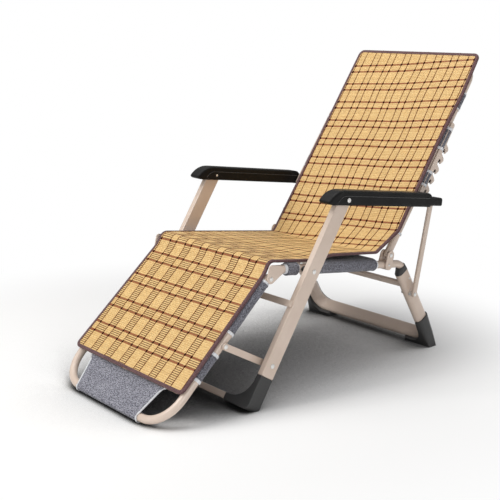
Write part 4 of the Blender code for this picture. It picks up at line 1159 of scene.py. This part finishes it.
def notch_shades(shade_black):
    """Small dark discs beside the notches of the hooked plates, all but the lowest: painted shade, standing
    for the shadow inside the notches.
    """
    below = TUBE_R + GAP + LATCH_ROD_R
    places = []
    for side in (-1, 1):
        for i in range(1, NOTCH_COUNT):
            point = back_pivot + back_dir * (NOTCH_FIRST_AT + NOTCH_PITCH * i) - back_up * below
            places.append((at(side * NOTCH_SHADE_X, point), (0, 0, 1), (side, 0, 0), NOTCH_SHADE_SIZE))
    shade_discs = repeated("notch_stops", RIVET, places, shade_black, 13)
    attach(shade_discs, "back")


# Finishes of the CAD nodes
def finishes():
    """Give every CAD node its finish, and return the finishes by slot."""
    # Each black plastic's two tones are its painted shade on the sides and its painted light on the top
    arm_plastic = black_plastic("armrest_plastic", 0.006, 0.022, 0.15, 0.010)
    made = {"cream_paint": cream_paint(), "black_plastic": black_plastic("black_plastic", 0.040, 0.060),
            "zinc_steel": zinc_steel(),
            "grey_fabric": woven_cloth("grey_fabric", (0.070, 0.070, 0.098), (0.405, 0.405, 0.460)),
            "slat_mat": slat_finish()}
    slots = {s["node"]: s["material_slot"] for s in frame["record"]["subparts"]}
    for name, obj in frame["nodes"].items():
        finish = arm_plastic if name in ("armrest_l", "armrest_r") else made[slots[name]]
        for slot in obj.material_slots:
            slot.material = finish
        join_corners(obj)
    return made


def join_corners(obj):
    """A live modifier that joins a CAD node's loose triangles at their corners; its mesh stays as it is."""
    weld = obj.modifiers.new("join_corners", "WELD")
    weld.merge_threshold = 0.00001


# Studio
def floor_paint():
    """Pale floor, shaded where the chair stands over it, and plain white to the camera further out."""
    paint = Finish("studio_floor", roughness=0.9)
    paint.shader.inputs["Specular IOR Level"].default_value = 0.1
    # Painted shadow: the floor's colour darkens with ambient occlusion about a tilted normal, standing for
    # the chair's cast shadow
    near = paint.node("ShaderNodeAmbientOcclusion", samples=8)
    near.inputs["Distance"].default_value = FLOOR_SHADE_REACH
    lean = paint.node("ShaderNodeCombineXYZ")
    for socket, value in zip(lean.inputs, Vector(FLOOR_SHADE_LEAN).normalized()):
        socket.default_value = value
    paint.link(lean.outputs["Vector"], near.inputs["Normal"])
    open_share = paint.ramp(near.outputs["AO"], *FLOOR_SHADE_RANGE)
    paint.colour(paint.mix(open_share, (0.03, 0.03, 0.03), (0.97, 0.97, 0.97)))
    white = paint.node("ShaderNodeEmission")
    white.inputs["Color"].default_value = (1.0, 1.0, 1.0, 1.0)
    centre = paint.node("ShaderNodeVectorMath", operation="SUBTRACT")
    centre.inputs[1].default_value = FLOOR_MIDDLE
    paint.link(paint.place(), centre.inputs[0])
    reach = paint.node("ShaderNodeVectorMath", operation="LENGTH")
    paint.link(centre.outputs["Vector"], reach.inputs[0])
    far = paint.ramp(reach.outputs["Value"], *FLOOR_FADE)
    seen = paint.node("ShaderNodeLightPath")
    rays = paint.math("ADD", seen.outputs["Is Camera Ray"], seen.outputs["Is Glossy Ray"])
    mixed = paint.node("ShaderNodeMixShader")
    paint.link(paint.math("MULTIPLY", rays, far), mixed.inputs["Fac"])
    paint.link(paint.shader.outputs["BSDF"], mixed.inputs[1])
    paint.link(white.outputs["Emission"], mixed.inputs[2])
    paint.link(mixed.outputs["Shader"], paint.tree.nodes["Material Output"].inputs["Surface"])
    return paint.material


def studio_floor():
    """A broad round floor."""
    bm = bmesh.new()
    bmesh.ops.create_circle(bm, cap_ends=True, segments=64, radius=FLOOR_R)
    mesh = bpy.data.meshes.new("studio_floor")
    bm.to_mesh(mesh)
    bm.free()
    floor = bpy.data.objects.new("studio_floor", mesh)
    bpy.context.scene.collection.objects.link(floor)
    mesh.materials.append(floor_paint())


def studio_world():
    """Weak white light from all round, seen by the camera and through clear things as full white."""
    world = bpy.data.worlds.new("studio")
    bpy.context.scene.world = world
    world.use_nodes = True
    nodes, links = world.node_tree.nodes, world.node_tree.links
    background = nodes["Background"]
    background.inputs["Color"].default_value = (1.0, 1.0, 1.0, 1.0)
    rays = nodes.new("ShaderNodeLightPath")
    seen = nodes.new("ShaderNodeMath")
    seen.operation = "MAXIMUM"
    links.new(rays.outputs["Is Camera Ray"], seen.inputs[0])
    links.new(rays.outputs["Is Transmission Ray"], seen.inputs[1])
    level = nodes.new("ShaderNodeMapRange")
    links.new(seen.outputs["Value"], level.inputs["Value"])
    level.inputs["To Min"].default_value = WORLD_LIGHT
    level.inputs["To Max"].default_value = 1.0
    links.new(level.outputs["Result"], background.inputs["Strength"])


def lamp(name, place, aim, size, power, tint=(1.0, 1.0, 1.0)):
    """Soft rectangular lamp turned towards a point."""
    light = bpy.data.lights.new(name, "AREA")
    light.shape = "RECTANGLE"
    light.size, light.size_y = size
    light.energy = power
    light.color = tint
    obj = bpy.data.objects.new(name, light)
    bpy.context.scene.collection.objects.link(obj)
    obj.location = place
    obj.rotation_euler = (Vector(aim) - Vector(place)).to_track_quat("-Z", "Y").to_euler()


def lamps():
    """A key lamp on the photograph's left, with softer ones round the chair."""
    lamp("key", (-1.2, -2.6, 3.2), (0.0, 0.0, 0.3), (1.6, 1.6), 66.0, (1.0, 0.985, 0.96))
    lamp("top", (-0.2, 0.1, 3.5), (0.0, 0.0, 0.0), (2.4, 2.4), 50.0)
    lamp("fill", (3.6, -1.4, 1.5), (0.0, 0.0, 0.5), (2.0, 1.6), 34.0)
    lamp("front", (-0.9, -3.7, 1.3), (0.0, 0.0, 0.4), (1.4, 1.4), 22.0)
    lamp("rear", (1.2, 3.0, 2.6), (0.0, 0.2, 0.5), (2.0, 1.6), 14.0)


def photo_camera():
    """The photograph's camera, solved from the frame's parallel edges."""
    camera = bpy.data.cameras.new("photo_view")
    camera.lens = CAMERA_LENS
    camera.sensor_width = 36.0
    view = bpy.data.objects.new("photo_view", camera)
    bpy.context.scene.collection.objects.link(view)
    azimuth, elevation = radians(CAMERA_AZIMUTH), radians(CAMERA_ELEVATION)
    back = Vector((sin(azimuth) * cos(elevation), -cos(azimuth) * cos(elevation), sin(elevation)))
    view.rotation_mode = "QUATERNION"
    view.rotation_quaternion = (-back).to_track_quat("-Z", "Y")
    view.location = CAMERA_AT
    bpy.context.scene.camera = view
    bpy.context.scene.view_settings.view_transform = "Standard"


by_slot = finishes()
SLAT = slat_pattern()
STITCH = stitch_pattern()
RIVET = rivet_pattern()
TAPE = tape_pattern()
dark_thread = thread_finish()
sleeve_cloth = woven_cloth("sleeve_cloth", (0.055, 0.055, 0.070), (0.290, 0.290, 0.335))
grey_thread = woven_cloth("sling_thread", (0.120, 0.120, 0.140), (0.200, 0.200, 0.220), 0.0004)
mat_tape = woven_cloth("mat_binding", (0.090, 0.042, 0.045), (0.175, 0.090, 0.092), 0.0009, 0.1)
mat_cloth = woven_cloth("mat_backing", (0.300, 0.220, 0.130), (0.420, 0.320, 0.200), 0.0012)
white_tape = woven_cloth("white_tape", (0.740, 0.750, 0.780), (0.860, 0.870, 0.890), 0.0008)

mat_finishes = (by_slot["slat_mat"], dark_thread, mat_tape, mat_cloth)
leg_backing = mat_half("leg_mat", 0, MIDDLE_SLAT, mat_finishes)
back_backing = mat_half("back_mat", MIDDLE_SLAT, SLAT_COUNT, mat_finishes)
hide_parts("mat_foot", "mat_seat")
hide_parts("mat_back")
slings(by_slot["grey_fabric"], sleeve_cloth, white_tape, grey_thread)
rivets(by_slot["zinc_steel"])
arm_beads(by_slot["black_plastic"])
# Painted shade: dark discs at the notches stand for the shadow inside them
notch_shades(black_plastic("stop_rubber", 0.006, 0.012, 0.3))
for pattern in (SLAT, STITCH, RIVET, TAPE):
    bpy.data.objects.remove(pattern)
studio_floor()
studio_world()
lamps()
photo_camera()
